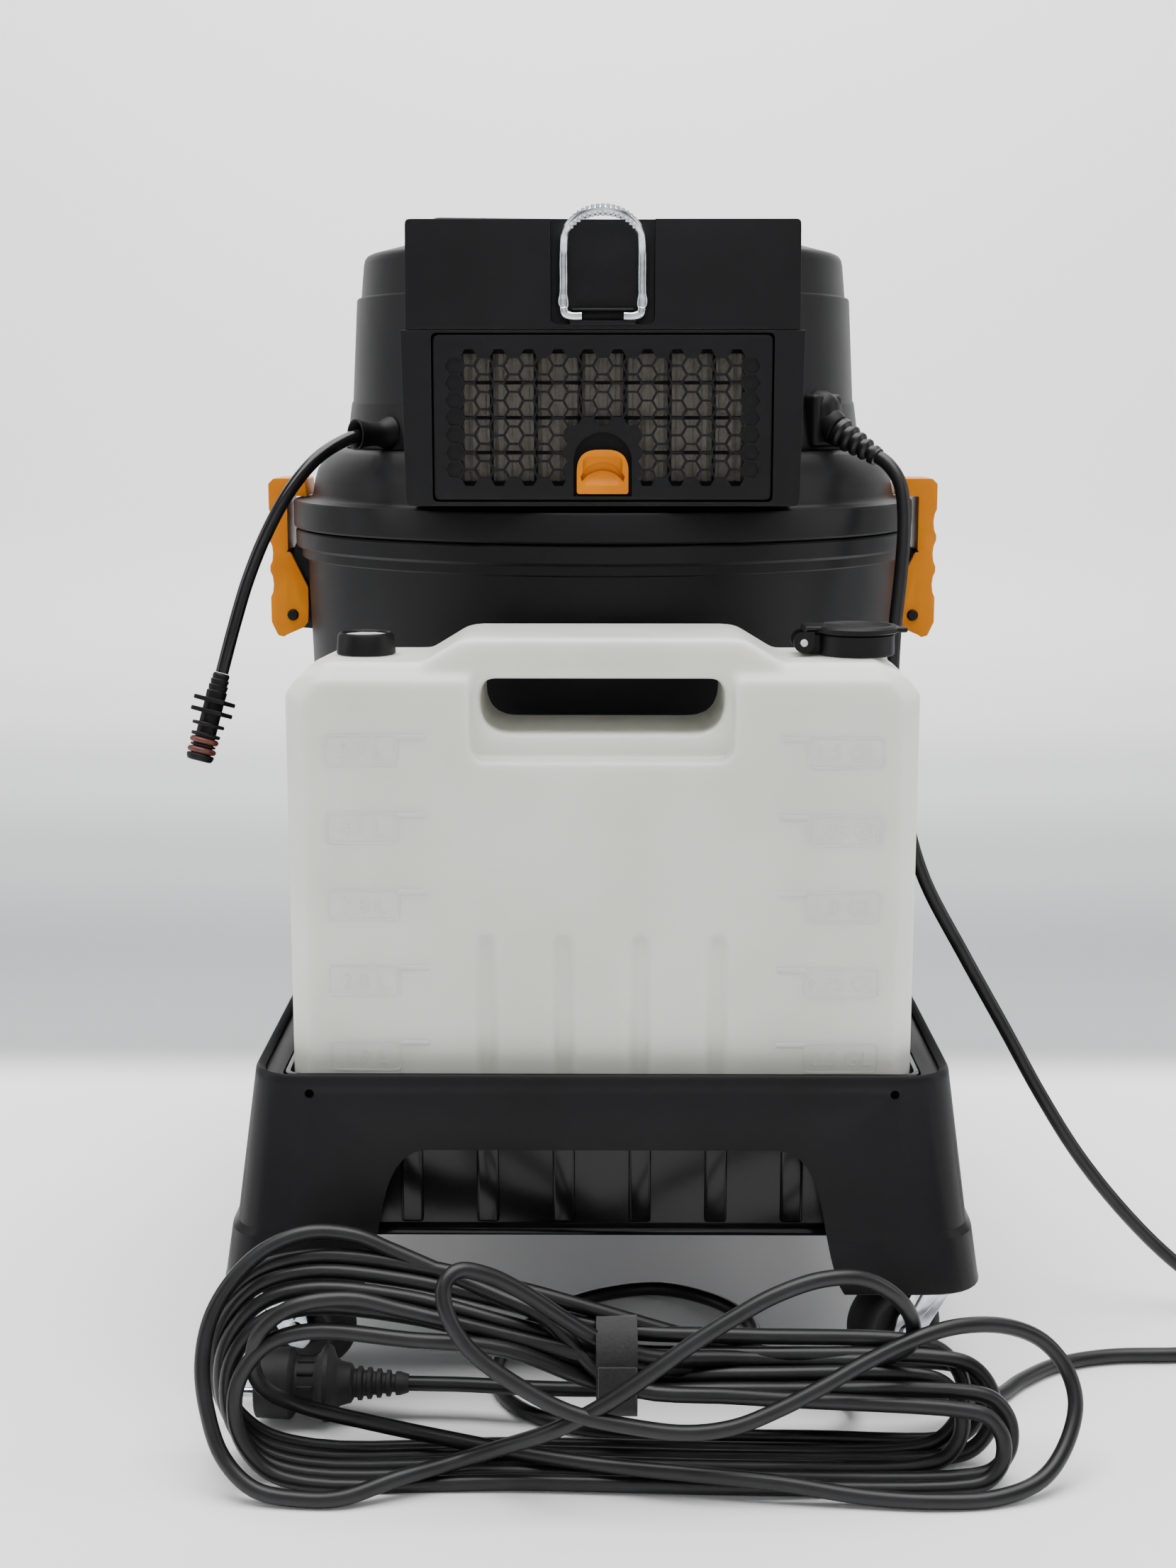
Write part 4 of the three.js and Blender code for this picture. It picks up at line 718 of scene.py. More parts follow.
WHEEL_R = 24
TRAIL = 20
CASTERS = {}
for caster_name in ("rear_right", "rear_left", "front_right", "front_left"):
    wheel_low, wheel_high = node_box(f"caster_wheel_{caster_name}")
    turn = 205 if "right" in caster_name else -25
    wheel = (wheel_low + wheel_high) / 2
    reach_x = TRAIL * math.cos(math.radians(turn))
    reach_y = TRAIL * math.sin(math.radians(turn))
    CASTERS[caster_name] = (wheel.x - reach_x, wheel.y - reach_y, turn)
posts = [caster_post(x, y) for x, y, _ in CASTERS.values()]
caster_posts = gather(*posts)
caster_posts.name = "caster_posts"
finish_black(caster_posts)
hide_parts("dolly_skirt")


# ------------------------------------------------------------------ tank pocket
def pocket():
    low, high = pocket_low, pocket_high
    rear = low.y + 4
    top = DECK_TOP
    outer = filleted(rounded_box(low.x, high.x, rear, high.y, 9))
    obj = slab("tank_pocket_tray", outer, "z", low.z, top)
    softened(obj, 1.2, 2)
    inner = filleted(rounded_box(low.x + 2.5, high.x - 2.5, rear + 2.5, high.y - 2.5, 7))
    cut(obj, slab("pocket_room", inner, "z", tank_low.z - 0.3, top + 20))
    under = block(
        "pocket_under", (low.x + 6, rear + 6, low.z - 1), (high.x - 6, high.y - 6, tank_low.z - 3.5),
    )
    cut(obj, under)
    for k in range(6):
        x = (k - 2.5) * 37.3
        rib = block("pocket_rib", (x - 5.5, rear - 2.5, 92), (x + 5.5, rear + 0.8, 150))
        weld(obj, softened(rib, 1.6, 3))
    ledge = block("pocket_ledge", (low.x + 12, low.y, 86), (high.x - 12, rear + 1, 90))
    return weld(obj, softened(ledge, 0.8, 2))


finish_piece(pocket(), "machine", "gloss_black", GLOSS, "tank_pocket")


# ------------------------------------------------------------------ casters
def caster_fork():
    """zinc pressing standing at its swivel, trailing along +X"""
    parts = []
    leg_outline = filleted([
        (-13, 58, 0), (-13, 51, 4), (TRAIL - 9, 20, 6), (TRAIL - 5, 15, 4), (TRAIL + 4, 15, 4),
        (TRAIL + 9, 21, 6), (TRAIL + 6, 33, 8), (13, 51, 5), (13, 58, 0),
    ])
    rib_outline = filleted([
        (-8, 54.5, 2), (-8, 49, 4), (TRAIL - 6, 29, 5), (TRAIL + 1, 30, 5), (8, 50, 4), (8, 54.5, 2),
    ])
    for side in (-1, 1):
        inner, outer = side * 11, side * 13
        leg = slab("leg", leg_outline, "y", min(inner, outer), max(inner, outer))
        softened(leg, 0.5, 2)
        rib = slab(
            "rib", rib_outline, "y", min(outer - side * 0.4, outer + side * 1.3),
            max(outer - side * 0.4, outer + side * 1.3),
        )
        softened(rib, 1.1, 3)
        parts += [leg, rib]
    crown = rounded_slab("crown", (-14, 14, -13, 13, 4), "z", 54.5, 58)
    softened(crown, 1.2, 3)
    head = turned("head", [
        (0, 57.5), (12.5, 57.5), (12.5, 60), (11, 61.2), (10.5, 64.6), (9, 65.6), (4.5, 65.6), (4.5, 90),
        (3.5, 91.5), (0, 91.5),
    ], 40)
    return gather(crown, head, *parts)


def caster_wheel():
    """moulded wheel with a rounded tread, a stepped face and a hub, upright about its axle"""
    half = 10
    profile = [
        (3.4, -half + 0.4), (6.5, -half), (7.6, -half + 1.6), (15.6, -half + 2.2), (17, -half + 0.5),
        (18.4, -half),
        (20.8, -half + 0.3), (22.6, -half + 1.5), (23.7, -half + 3.6), (24, -half + 7), (24, half - 7),
        (23.7, half - 3.6),
        (22.6, half - 1.5), (20.8, half - 0.3), (18.4, half), (17, half - 0.5), (15.6, half - 2.2),
        (7.6, half - 1.6),
        (6.5, half), (3.4, half - 0.4), (3.4, -half + 0.4),
    ]
    obj = turned("wheel", profile, 64)
    return moved(obj, Matrix.Rotation(math.pi / 2, 4, "X"))


def caster_axle():
    rivet = turned("axle", [
        (0, -14.9), (3.2, -14.9), (4.4, -14.4), (5, -13.4), (2.7, -13.2), (2.7, 13.2), (5, 13.4),
        (4.4, 14.4), (3.2, 14.9), (0, 14.9),
    ], 32)
    return moved(rivet, Matrix.Rotation(math.pi / 2, 4, "X"))


fork_master, wheel_master, axle_master = caster_fork(), caster_wheel(), caster_axle()
for caster_name, (x, y, turn) in CASTERS.items():
    stand = place_mm(x, y, 0) @ Matrix.Rotation(math.radians(turn), 4, "Z")
    at_axle = stand @ place_mm(TRAIL, 0, WHEEL_R)
    fork = moved(copy_of(fork_master, f"fork_{caster_name}"), stand)
    axle = moved(copy_of(axle_master, f"axle_{caster_name}"), at_axle)
    wheel = moved(copy_of(wheel_master, f"tyre_{caster_name}"), at_axle)
    body = f"caster_{caster_name}"
    finish_piece(fork, body, "zinc", ZINC, f"caster_fork_{caster_name}")
    finish_piece(axle, body, "zinc", ZINC, f"caster_axle_{caster_name}")
    finish_piece(wheel, f"wheel_{caster_name}", "rubber", RUBBER, f"caster_wheel_{caster_name}")
for master in (fork_master, wheel_master, axle_master):
    bpy.data.objects.remove(master)


# ------------------------------------------------------------------ drum
PIN_X = 181
PIN_Z = 367
LATCH_W = 40
LATCH_CHEEK = 4
EAR_OUT = LATCH_W / 2 - LATCH_CHEEK - 0.3


def drum_shell():
    top = drum_high.z
    profile = [
        (0, 110), (152, 110), (158, 111.5), (162, 115), (163.2, 120), (172.3, 399.5), (172.6, 401.6),
        (175.2, 402),
        (175.9, 402.7), (176, 407.2), (176.6, 407.9), (178.2, 408.1), (179, 409), (179, top - 1),
        (178.2, top), (174, top),
        (174, 413.7), (169.8, 413.7), (167.4, 400), (158, 118), (154, 113.2), (0, 113),
    ]
    obj = turned("drum_shell", profile, 128, at=(0, DRUM_Y))
    cut(obj, round_bar("inlet_hole", "y", 23.3, DRUM_Y + 130, DRUM_Y + 190, (0, INLET_Z)))
    ear_outline = filleted([
        (162, 358, 0), (PIN_X - 5, 359, 3), (PIN_X - 1, 362.6, 2), (PIN_X + 3.4, 363.4, 3),
        (PIN_X + 4.4, PIN_Z, 3),
        (PIN_X + 4.4, 388, 8), (PIN_X - 2, 408.5, 1), (162, 408.5, 0),
    ])
    for side in (-1, 1):
        for y in (-EAR_OUT, EAR_OUT - 4):
            outline = [(side * x, z) for x, z in ear_outline]
            ear = slab("ear", outline, "y", DRUM_Y + y, DRUM_Y + y + 4)
            cut(ear, round_bar("ear_bore", "y", 3.3, DRUM_Y - 40, DRUM_Y + 40, (side * PIN_X, PIN_Z), 24))
            softened(ear, 0.6, 2)
            weld(obj, ear)
    return obj


finish_black(drum_shell(), "drum")
gasket = turned("lid_gasket", [
    (169.8, 414.2), (173.4, 414.2), (173.6, 416.4), (172.6, 418.4), (170.6, 418.4), (169.8, 416.4),
    (169.8, 414.2),
], at=(0, DRUM_Y))
finish_piece(gasket, "machine", "rubber", RUBBER, "drum_gasket")


def inlet():
    profile = [
        (19.5, 142.5), (20.3, 142), (22.2, 142), (23, 142.8), (23, 173), (24, 173.5), (28, 173.7),
        (29, 174.6), (29, 176), (28, 176.6),
        (24, 176.8), (23, 177.2), (22.8, 178.4), (22, 179), (20.6, 179), (19.5, 178), (19.5, 142.5),
    ]
    obj = turned("inlet_sleeve", profile, 64)
    return moved(obj, place_mm(0, DRUM_Y, INLET_Z) @ Matrix.Rotation(-math.pi / 2, 4, "X"))


finish_black(inlet(), "vacuum_hose_inlet")


# ------------------------------------------------------------------ side latches
def latch():
    """right-hand latch: scalloped outside, hooked over the lid's edge, with a cheek at each side"""
    out = PIN_X + 12.6
    profile = [(PIN_X + 4.8, 354, 1), (PIN_X + 9, 355, 2), (out, 363, 3)]
    for z in (385, 403, 421):
        profile += [
            (out, z - 7.5, 1.2), (out - 1.3, z - 4.5, 2), (out - 1.8, z, 3), (out - 1.3, z + 4.5, 2),
            (out, z + 7.5, 1.2),
        ]
    profile += [
        (out, 443, 1.5), (out - 3, 446, 1.5), (PIN_X - 8.5, 446, 1.5), (PIN_X - 9.5, 435.9, 0.6),
        (PIN_X + 2, 435.9, 1),
    ]
    profile += [(PIN_X + 2, 405, 2), (PIN_X + 4.8, 401, 2)]
    obj = slab("latch", filleted(profile, 4), "y", DRUM_Y - LATCH_W / 2, DRUM_Y + LATCH_W / 2)
    cheek = filleted([
        (PIN_X - 6, 359.6, 2), (PIN_X, 357, 2), (PIN_X + 6, 354.4, 1), (out - 3.2, 361, 1),
        (out - 3.2, 403, 1), (PIN_X + 1, 404, 4),
        (PIN_X - 9.2, 383, 3), (PIN_X - 9.2, 370, 2), (PIN_X - 8.8, 363, 2),
    ], 4)
    for y in (-LATCH_W / 2, LATCH_W / 2 - LATCH_CHEEK):
        weld(obj, slab("cheek", cheek, "y", DRUM_Y + y, DRUM_Y + y + LATCH_CHEEK))
    cut(obj, round_bar("latch_bore", "y", 3.3, DRUM_Y - 40, DRUM_Y + 40, (PIN_X, PIN_Z), 32))
    return softened(obj, 0.7, 3, 50)


def pin_along_y(name, radius, half, place, sides):
    """a round pin with chamfered ends, so long to each side of its place"""
    obj = turned(name, [
        (0, -half), (radius - 0.5, -half), (radius, -half + 0.5), (radius, half - 0.5),
        (radius - 0.5, half), (0, half),
    ], sides)
    return moved(obj, place_mm(*place) @ Matrix.Rotation(math.pi / 2, 4, "X"))


latch_right = latch()
latch_left = mirrored(latch_right, "latch_left_arm")
latch_right.name = "latch_right_arm"
pin_right = pin_along_y("pin", 3, LATCH_W / 2 + 1.6, (PIN_X, DRUM_Y, PIN_Z), 32)
pin_left = mirrored(pin_right, "latch_pin_left_rod")
pin_right.name = "latch_pin_right_rod"
finish_piece(latch_right, "latch_right", "orange", AMBER, "side_latch_right")
finish_piece(latch_left, "latch_left", "orange", AMBER, "side_latch_left")
finish_black(pin_right, "latch_pin_right")
finish_black(pin_left, "latch_pin_left")


# ------------------------------------------------------------------ head shells
FILTER_HALF = 82


def housing():
    profile = [
        (162, 419), (179, 419), (180, 420), (180, 433.2), (179.2, 434.5), (171.5, 435.2), (169.6, 436.4),
        (168.6, 438.6),
        (167.4, 446), (165.6, 451.8), (162.2, 457), (158.6, 461.2), (155.4, 463.4), (150, 463.7),
        (146, 463.7), (146, 461), (154, 460),
        (163, 448), (165, 434), (60, 434), (60, 430), (162, 430), (162, 419),
    ]
    obj = turned("lower_housing_shell", profile, 128, at=(0, DRUM_Y))
    room = block(
        "filter_room", (-FILTER_HALF - 2, BOX_REAR, door_low.z + 1), (FILTER_HALF + 2, BOX_REAR + 27, 470),
    )
    return cut(obj, room)


finish_black(housing(), "head_lower_housing")


def cover():
    top = COVER_TOP
    outer = [
        (149, 464), (149, 466.5), (148.2, 468.6), (145.6, 487.8), (145.2, 489.4), (144.6, 490.2),
        (141.5, 546), (141, 547.2), (139.3, 547.4),
        (138.9, 548.4), (137.2, 566), (136.6, 568.6), (135.2, 570.6), (133, 571.6), (112, top), (0, top),
    ]
    inner = [
        (0, top - 3), (110, top - 3), (131, 568.4), (133.6, 564), (138.4, 545), (142.4, 487), (146, 464),
        (149, 464),
    ]
    obj = turned("upper_cover_shell", [*outer, *inner], 128, at=(0, DRUM_Y))
    well_out = rounded_slab("well_out", (-77, 63, DRUM_Y - 47, DRUM_Y + 47, 15), "z", 549, top - 1)
    weld(obj, well_out)
    well_in = rounded_slab("well_in", (-74, 60, DRUM_Y - 44, DRUM_Y + 44, 12), "z", 552, 620)
    cut(obj, softened(well_in, 3, 3, 60))
    vent = rounded_slab("vent", (-60, 60, 452, 512, 6), "y", DRUM_Y - 160, DRUM_Y - 100)
    cut(obj, vent)
    for angle, z in ((PORT_ANGLE, PORT_Z), (CORD_ANGLE, CORD_Z)):
        bore = round_bar("cover_bore", "x", 4.6, 100, 160, (0, 0), 24)
        cut(obj, moved(bore, place_mm(0, DRUM_Y, z) @ Matrix.Rotation(math.radians(angle), 4, "Z")))
    return softened(obj, 0.8, 2, 50)


finish_black(cover(), "head_upper_cover")


def handle():
    low, high = node_box("carry_handle")
    foot, roof = low.z, high.z
    side = filleted([
        (-112, foot, 0), (-74, foot, 0), (-74, 580, 0), (60, 580, 0), (60, foot, 0), (88, foot, 0),
        (84, roof - 2, 9),
        (-98, roof, 10), (-105, 581, 6), (-112, foot + 1, 0),
    ], 6)
    obj = slab("carry_bar", side, "y", low.y, high.y)
    return softened(obj, 2.2, 4, 40)


finish_black(handle(), "carry_handle")


def switch_plate():
    low, high = node_box("switch_panel")
    obj = rounded_slab("switch_plate", (low.x, high.x, low.y, high.y, 8), "z", low.z, high.z)
    softened(obj, 1.4, 3)
    mid_y = (low.y + high.y) / 2
    for x in (-22, 22):
        cut(
            obj,
            block("rocker_room", (x - 12.6, mid_y - 8.8, low.z + 1.2), (x + 12.6, mid_y + 8.8, high.z + 5)),
        )
    return obj


finish_piece(switch_plate(), "machine", "gloss_black", GLOSS, "switch_panel")


def rocker(name):
    low, high = node_box(name)
    side = filleted([
        (low.y, low.z + 2.6, 0), (low.y + 3.2, low.z + 1, 1), ((low.y + high.y) / 2, low.z, 0),
        (high.y - 3.2, low.z + 1, 1),
        (high.y, low.z + 2.6, 0), (high.y - 0.8, high.z - 1.4, 1), ((low.y + high.y) / 2, high.z - 3.2, 3),
        (low.y, high.z, 1),
    ], 4)
    obj = slab(f"{name}_key", side, "x", low.x, high.x)
    return softened(obj, 0.7, 3, 30)


finish_piece(rocker("suction_switch"), "suction_rocker", "gloss_black", GLOSS, "suction_switch")
finish_piece(rocker("pump_switch"), "pump_rocker", "gloss_black", GLOSS, "pump_switch")


# ------------------------------------------------------------------ filter box and door
def keep_out(clear=0.3):
    """the head's own shells, a little larger, to cut the box to them"""
    return turned("keep_out", [
        (0, 425), (180 + clear, 425), (180 + clear, 434.8), (169, 436.5), (166 + clear, 452),
        (157 + clear, 463), (149 + clear, 464.3),
        (145.4 + clear, 489), (141.3 + clear, 547), (139 + clear, 547.6), (136.5 + clear, 570),
        (130.3 + clear, 577.3), (0, 577.3),
    ], 128, at=(0, DRUM_Y))


def filter_case():
    z0, z1 = box_low.z, box_high.z
    front = filleted([(-99.4, z0, 3), (99.4, z0, 3), (101, z1, 0.5), (-101, z1, 0.5)])
    obj = slab("filter_case", front, "y", BOX_REAR, box_high.y)
    softened(obj, 2.2, 4, 50)
    cut(obj, keep_out())
    low, high = door_low, door_high
    cut(
        obj,
        softened(
            block(
                "door_room", (low.x - 0.8, BOX_REAR - 6, low.z - 0.8),
                (high.x + 0.8, BOX_REAR + 9, high.z + 0.9),
            ),
            2.5, 3,
        ),
    )
    cut(
        obj,
        block(
            "filter_well", (-FILTER_HALF, BOX_REAR + 2, low.z + 3),
            (FILTER_HALF, BOX_REAR + 27, high.z - 4),
        ),
    )
    return obj


def biggest_shell(obj):
    """drops the slivers that a cut leaves behind"""
    edit(obj)
    bpy.ops.mesh.separate(type="LOOSE")
    bpy.ops.object.mode_set(mode="OBJECT")
    shells = list(bpy.context.selected_objects)
    keep = max(shells, key=lambda one: one.dimensions.x * one.dimensions.z)
    name = obj.name
    for one in shells:
        if one is not keep:
            bpy.data.objects.remove(one)
    keep.name = name
    return keep


filter_case_shell = biggest_shell(filter_case())
finish_black(filter_case_shell, "filter_box")

HOOK_Z = 532
HOOK_HALF = 19.5
HOOK_Y = BOX_REAR + 1


def upper_panel():
    z0, z1 = hook_low.z, hook_high.z
    obj = slab(
        "upper_panel", filleted([(-98.6, z0, 0.5), (98.6, z0, 0.5), (98, z1, 2.5), (-98, z1, 2.5)]), "y",
        BOX_REAR, hook_high.y,
    )
    softened(obj, 1.6, 3, 50)
    cut(obj, keep_out())
    recess = slab(
        "hook_recess", filleted([(-26, 528, 4), (26, 528, 4), (26, 590, 0), (-26, 590, 0)]), "y",
        BOX_REAR - 6, BOX_REAR + 4.5,
    )
    cut(obj, softened(recess, 1.0, 2, 60))
    lug = softened(block("lug", (-16, BOX_REAR - 0.5, 528), (16, BOX_REAR + 5, 536)), 1.2, 3)
    cut(lug, round_bar("lug_bore", "x", 3.1, -20, 20, (HOOK_Y, HOOK_Z), 32))
    weld(obj, lug)
    ledge = softened(block("hook_ledge", (-16.5, BOX_REAR - 0.5, 527.4), (16.5, BOX_REAR + 1, 530)), 0.6, 2)
    return weld(obj, ledge)


upper_shell = biggest_shell(upper_panel())
finish_black(upper_shell, "hook_panel")


def hook_path():
    lean = math.radians(38)
    leg_top = HOOK_Z + 35
    half = HOOK_HALF
    points = [(-half + 9, HOOK_Y, HOOK_Z), (-half + 4, HOOK_Y, HOOK_Z), (-half + 0.8, HOOK_Y, HOOK_Z + 1.2)]
    points += [(-half, HOOK_Y, HOOK_Z + 4.5), (-half, HOOK_Y, leg_top - 18), (-half, HOOK_Y, leg_top - 4)]
    for k in range(1, 12):
        t = math.pi * k / 12
        rise = half * math.sin(t)
        points.append((-half * math.cos(t), HOOK_Y - rise * math.sin(lean), leg_top + rise * math.cos(lean)))
    points += [(half, HOOK_Y, leg_top - 4), (half, HOOK_Y, leg_top - 18), (half, HOOK_Y, HOOK_Z + 4.5)]
    return points + [
        (half - 0.8, HOOK_Y, HOOK_Z + 1.2), (half - 4, HOOK_Y, HOOK_Z), (half - 9, HOOK_Y, HOOK_Z),
    ]


def hook_wire():
    """round wire, pinched flat above its bent feet, with nibs pressed into the top of the bow"""
    path = flowing(hook_path(), 8)
    tube = as_mesh(smooth_tube("hook_wire", hook_path(), 2.4, sides=16))
    for side in (-1, 1):
        edit(tube)
        bpy.ops.mesh.select_mode(type="VERT")
        bpy.ops.mesh.select_all(action="DESELECT")
        bpy.ops.object.mode_set(mode="OBJECT")
        for vertex in tube.data.vertices:
            vertex.select = 536.5 < vertex.co.z / MM < 542 and vertex.co.x * side > 0
        bpy.ops.object.mode_set(mode="EDIT")
        leg = (side * HOOK_HALF * MM, HOOK_Y * MM, 0)
        bpy.ops.transform.resize(value=(1.18, 0.72, 1), center_override=leg)
        leave(tube)
    nibs = []
    for k, at in enumerate(path):
        if at.z > 575 and k % 4 == 0:
            nib = block("nib", at - Vector((1.0, 2.2, 2.75)), at + Vector((1.0, 1.2, 2.9)))
            nibs.append(softened(nib, 0.5, 2))
    return gather(tube, *nibs)


finish_piece(hook_wire(), "hook", "zinc", ZINC, "hose_hook")

DOOR_BACK = BOX_REAR + 6
DOOR_MID_Z = (door_low.z + door_high.z) / 2
HEX_PITCH = 8.6
HEX_WALL = 1.1
TAB_ARCH = 14.7


def tab_arch(half, foot):
    centre = door_low.z + 34 - TAB_ARCH
    return [(-half, foot), (half, foot), *arc(0, centre, half, 0, 180, 24)]


def filter_grille():
    """the door: a frame with a honeycomb of flat-topped hexagons and an arched finger well"""
    low, high = door_low, door_high
    plate = rounded_slab("filter_grille", (low.x, high.x, low.z, high.z, 3.5), "y", BOX_REAR, DOOR_BACK)
    softened(plate, 1.0, 3, 50)
    pod = slab("pod", tab_arch(TAB_ARCH + 2, low.z + 0.4), "y", BOX_REAR + 0.6, BOX_REAR + 9)
    radius = (HEX_PITCH - HEX_WALL) / math.sqrt(3)
    across = HEX_PITCH * math.sqrt(3) / 2
    cells = []
    blind = []
    columns = int((high.x - 7) / across)
    for i in range(-columns, columns + 1):
        for j in range(-6, 7):
            x = i * across
            z = DOOR_MID_Z + (j + (i % 2) / 2) * HEX_PITCH
            if not low.z + 7.5 < z < high.z - 7.5:
                continue
            if abs(x) < TAB_ARCH + 6.3 and z < low.z + 41:
                continue
            ring = arc(x, z, radius, 0, 300, 5)
            if abs(x) > high.x - 15:
                blind.append(slab("blind_cell", ring, "y", BOX_REAR - 1, BOX_REAR + 1.1))
            else:
                cells.append(slab("cell", ring, "y", BOX_REAR - 1, DOOR_BACK + 1))
    cut(plate, gather(*cells))
    cut(plate, gather(*blind))
    weld(plate, pod)
    cut(plate, slab("tab_well", tab_arch(TAB_ARCH, low.z + 2), "y", BOX_REAR - 2, BOX_REAR + 7.5))
    return plate


finish_piece(filter_grille(), "door", "satin_black", SATIN, "filter_door", angle=28)


def tab():
    low, high = node_box("door_release_tab")
    z0, z1 = low.z, high.z
    body = slab("release_tab", filleted([
        (low.x, z0, 1.5), (high.x, z0, 1.5), (high.x, z1, 11), (low.x, z1, 11),
    ], 10), "y", BOX_REAR - 0.8, high.y)
    # a finger grip scooped across the face, shaped like a crescent
    scoop = round_bar("scoop", "x", 9, low.x + 3, high.x - 3, (BOX_REAR - 6.2, z0 + 11.5), 48)
    softened(scoop, 2.5, 4, 50)
    cut(body, scoop)
    hollow = slab(
        "crescent", [*arc(0, z0 + 4, 12, 22, 158, 20), *arc(0, z0 - 1, 12.6, 146, 34, 20)], "y",
        BOX_REAR - 5, BOX_REAR + 4,
    )
    cut(body, hollow)
    return softened(body, 0.8, 3, 40)


finish_piece(tab(), "door_tab", "orange", AMBER, "door_release_tab")


def pleats():
    """a zigzag sheet of filter paper, folded from side to side"""
    low, high = node_box("pleated_filter")
    pitch = 4.4
    front, back = low.y + 2.4, high.y
    count = int((high.x - low.x - 3) / pitch)
    start = -count * pitch / 2
    outer = []
    for k in range(count + 1):
        x = start + k * pitch
        outer += [(x, back - 1), (x + pitch / 2, front)] if k < count else [(x, back - 1)]
    inner = [(x, y + 1.1) for x, y in reversed(outer)]
    return slab("filter_pleats", outer + inner, "z", low.z + 2, high.z - 2)


filter_pleats = pleats()
finish_piece(filter_pleats, "machine", "filter_paper", PAPER, angle=20)


def filter_frame():
    low, high = node_box("pleated_filter")
    obj = rounded_slab("filter_frame", (low.x, high.x, low.z, high.z, 2), "y", low.y, high.y)
    cut(obj, block("frame_room", (low.x + 3, low.y - 1, low.z + 3), (high.x - 3, high.y + 1, high.z - 3)))
    bars = []
    for k in range(1, 7):
        x = low.x + (high.x - low.x) * k / 7
        bars.append(
            softened(block("bar", (x - 0.9, low.y, low.z + 1), (x + 0.9, low.y + 1.8, high.z - 1)), 0.3, 2),
        )
    for k in range(1, 4):
        z = low.z + (high.z - low.z) * k / 4
        bars.append(
            softened(block("bar", (low.x + 1, low.y, z - 0.9), (high.x - 1, low.y + 1.8, z + 0.9)), 0.3, 2),
        )
    return gather(obj, *bars)


filter_frame_piece = filter_frame()
finish_piece(filter_frame_piece, "machine", "filter_paper", SATIN, "pleated_filter")


# ------------------------------------------------------------------ solution tank
TANK_REAR = tank_low.y
TANK_FRONT = tank_high.y
TANK_HALF = tank_high.x
TANK_DECK = 368
OUTLET_X = -116
FILLER_X = 124


def mark(label, x0, x1, tick_x, top):
    """one raised measuring mark: a rounded panel, a tick from its top corner, and its figure"""
    proud = TANK_REAR - 0.12
    panel = filleted(rounded_box(x0, x1, top - 15.4, top, 3))
    inner = filleted(rounded_box(x0 + 0.9, x1 - 0.9, top - 14.5, top - 0.9, 2.4))
    frame_plate = slab("mark", panel, "y", proud, TANK_REAR + 0.8)
    cut(frame_plate, slab("mark_room", inner, "y", TANK_REAR - 2, TANK_REAR + 2))
    near = x1 if tick_x > x1 else x0
    tick = block(
        "tick", (min(near, tick_x) - 0.5, proud, top - 2.6),
        (max(near, tick_x) + 0.5, TANK_REAR + 0.8, top),
    )
    softened(tick, 0.3, 2)
    bpy.ops.object.text_add(
        rotation=(math.pi / 2, 0, 0), location=((x0 + x1) / 2 * MM, TANK_REAR * MM, (top - 11.6) * MM),
    )
    figure = bpy.context.object
    figure.data.body = label
    figure.data.size = 11 * MM
    figure.data.align_x = "CENTER"
    figure.data.extrude = 0.12 * MM
    bpy.ops.object.convert(target="MESH")
    bpy.ops.object.transform_apply(location=True, rotation=True, scale=True)
    return [frame_plate, tick, figure]


def tank():
    """blow-moulded can: soft edges everywhere, a sunk border round its hand hole"""
    half, foot, deck = TANK_HALF, tank_low.z, TANK_DECK
    front = [
        (-half, foot), (half, foot), (half, deck - 15), (half - 12, deck), (-half + 12, deck),
        (-half, deck - 15),
    ]
    obj = slab("tank_can", front, "y", TANK_REAR, TANK_FRONT)
    softened(obj, 9, 1, 50)
    for y0, y1 in ((TANK_REAR - 20, TANK_REAR + 7), (TANK_FRONT - 7, TANK_FRONT + 20)):
        sunk = slab("sunk", filleted([(-63, 321, 8), (63, 321, 8), (63, 430, 0), (-63, 430, 0)]), "y", y0, y1)
        cut(obj, softened(sunk, 2.5, 3, 60))
    hand = filleted([(-58.5, 333.5, 15), (58.5, 333.5, 15), (58.5, 430, 0), (-58.5, 430, 0)], 6)
    cut(obj, slab("hand", hand, "y", TANK_REAR - 5, TANK_FRONT + 5))
    bar = slab("bar", filleted([
        (-90, 350, 0), (-60, 350, 0), (-56, 360, 4), (56, 360, 4), (60, 350, 0), (90, 350, 0), (89, 366, 4),
        (66, 380, 16), (-66, 380, 16), (-89, 366, 4),
    ], 6), "y", TANK_REAR + 5.5, TANK_FRONT - 5.5)
    weld(obj, softened(bar, 6, 4, 50))
    for k in range(4):
        x = (k - 1.5) * 37.3
        groove = filleted(
            [(x - 5.2, foot - 9, 0), (x + 5.2, foot - 9, 0), (x + 5.2, 236, 5), (x - 5.2, 236, 5)],
        )
        cut(obj, softened(slab("groove", groove, "y", TANK_REAR - 5, TANK_REAR + 2.6), 1.2, 2, 60))
    for x, r in ((OUTLET_X, 8.5), (FILLER_X, 13)):
        weld(obj, round_bar("neck", "z", r + 2.6, 350, 378, (x, TANK_MID_Y), 40))
        cut(obj, round_bar("neck_bore", "z", r, 340, 390, (x, TANK_MID_Y), 40))
    modify(obj, "REMESH", mode="VOXEL", voxel_size=2.0 * MM)
    modify(obj, "SMOOTH", factor=0.5, iterations=3)
    return obj


SCALE = (
    ("5.7 L", "1.5 GL"), ("4.7 L", "1.25 GL"), ("3.8 L", "1.0 GL"), ("2.8 L", "0.75 GL"), ("1.9 L", "0.5 GL"),
)
SCALE_TOP = 334.5
SCALE_PITCH = 37.8


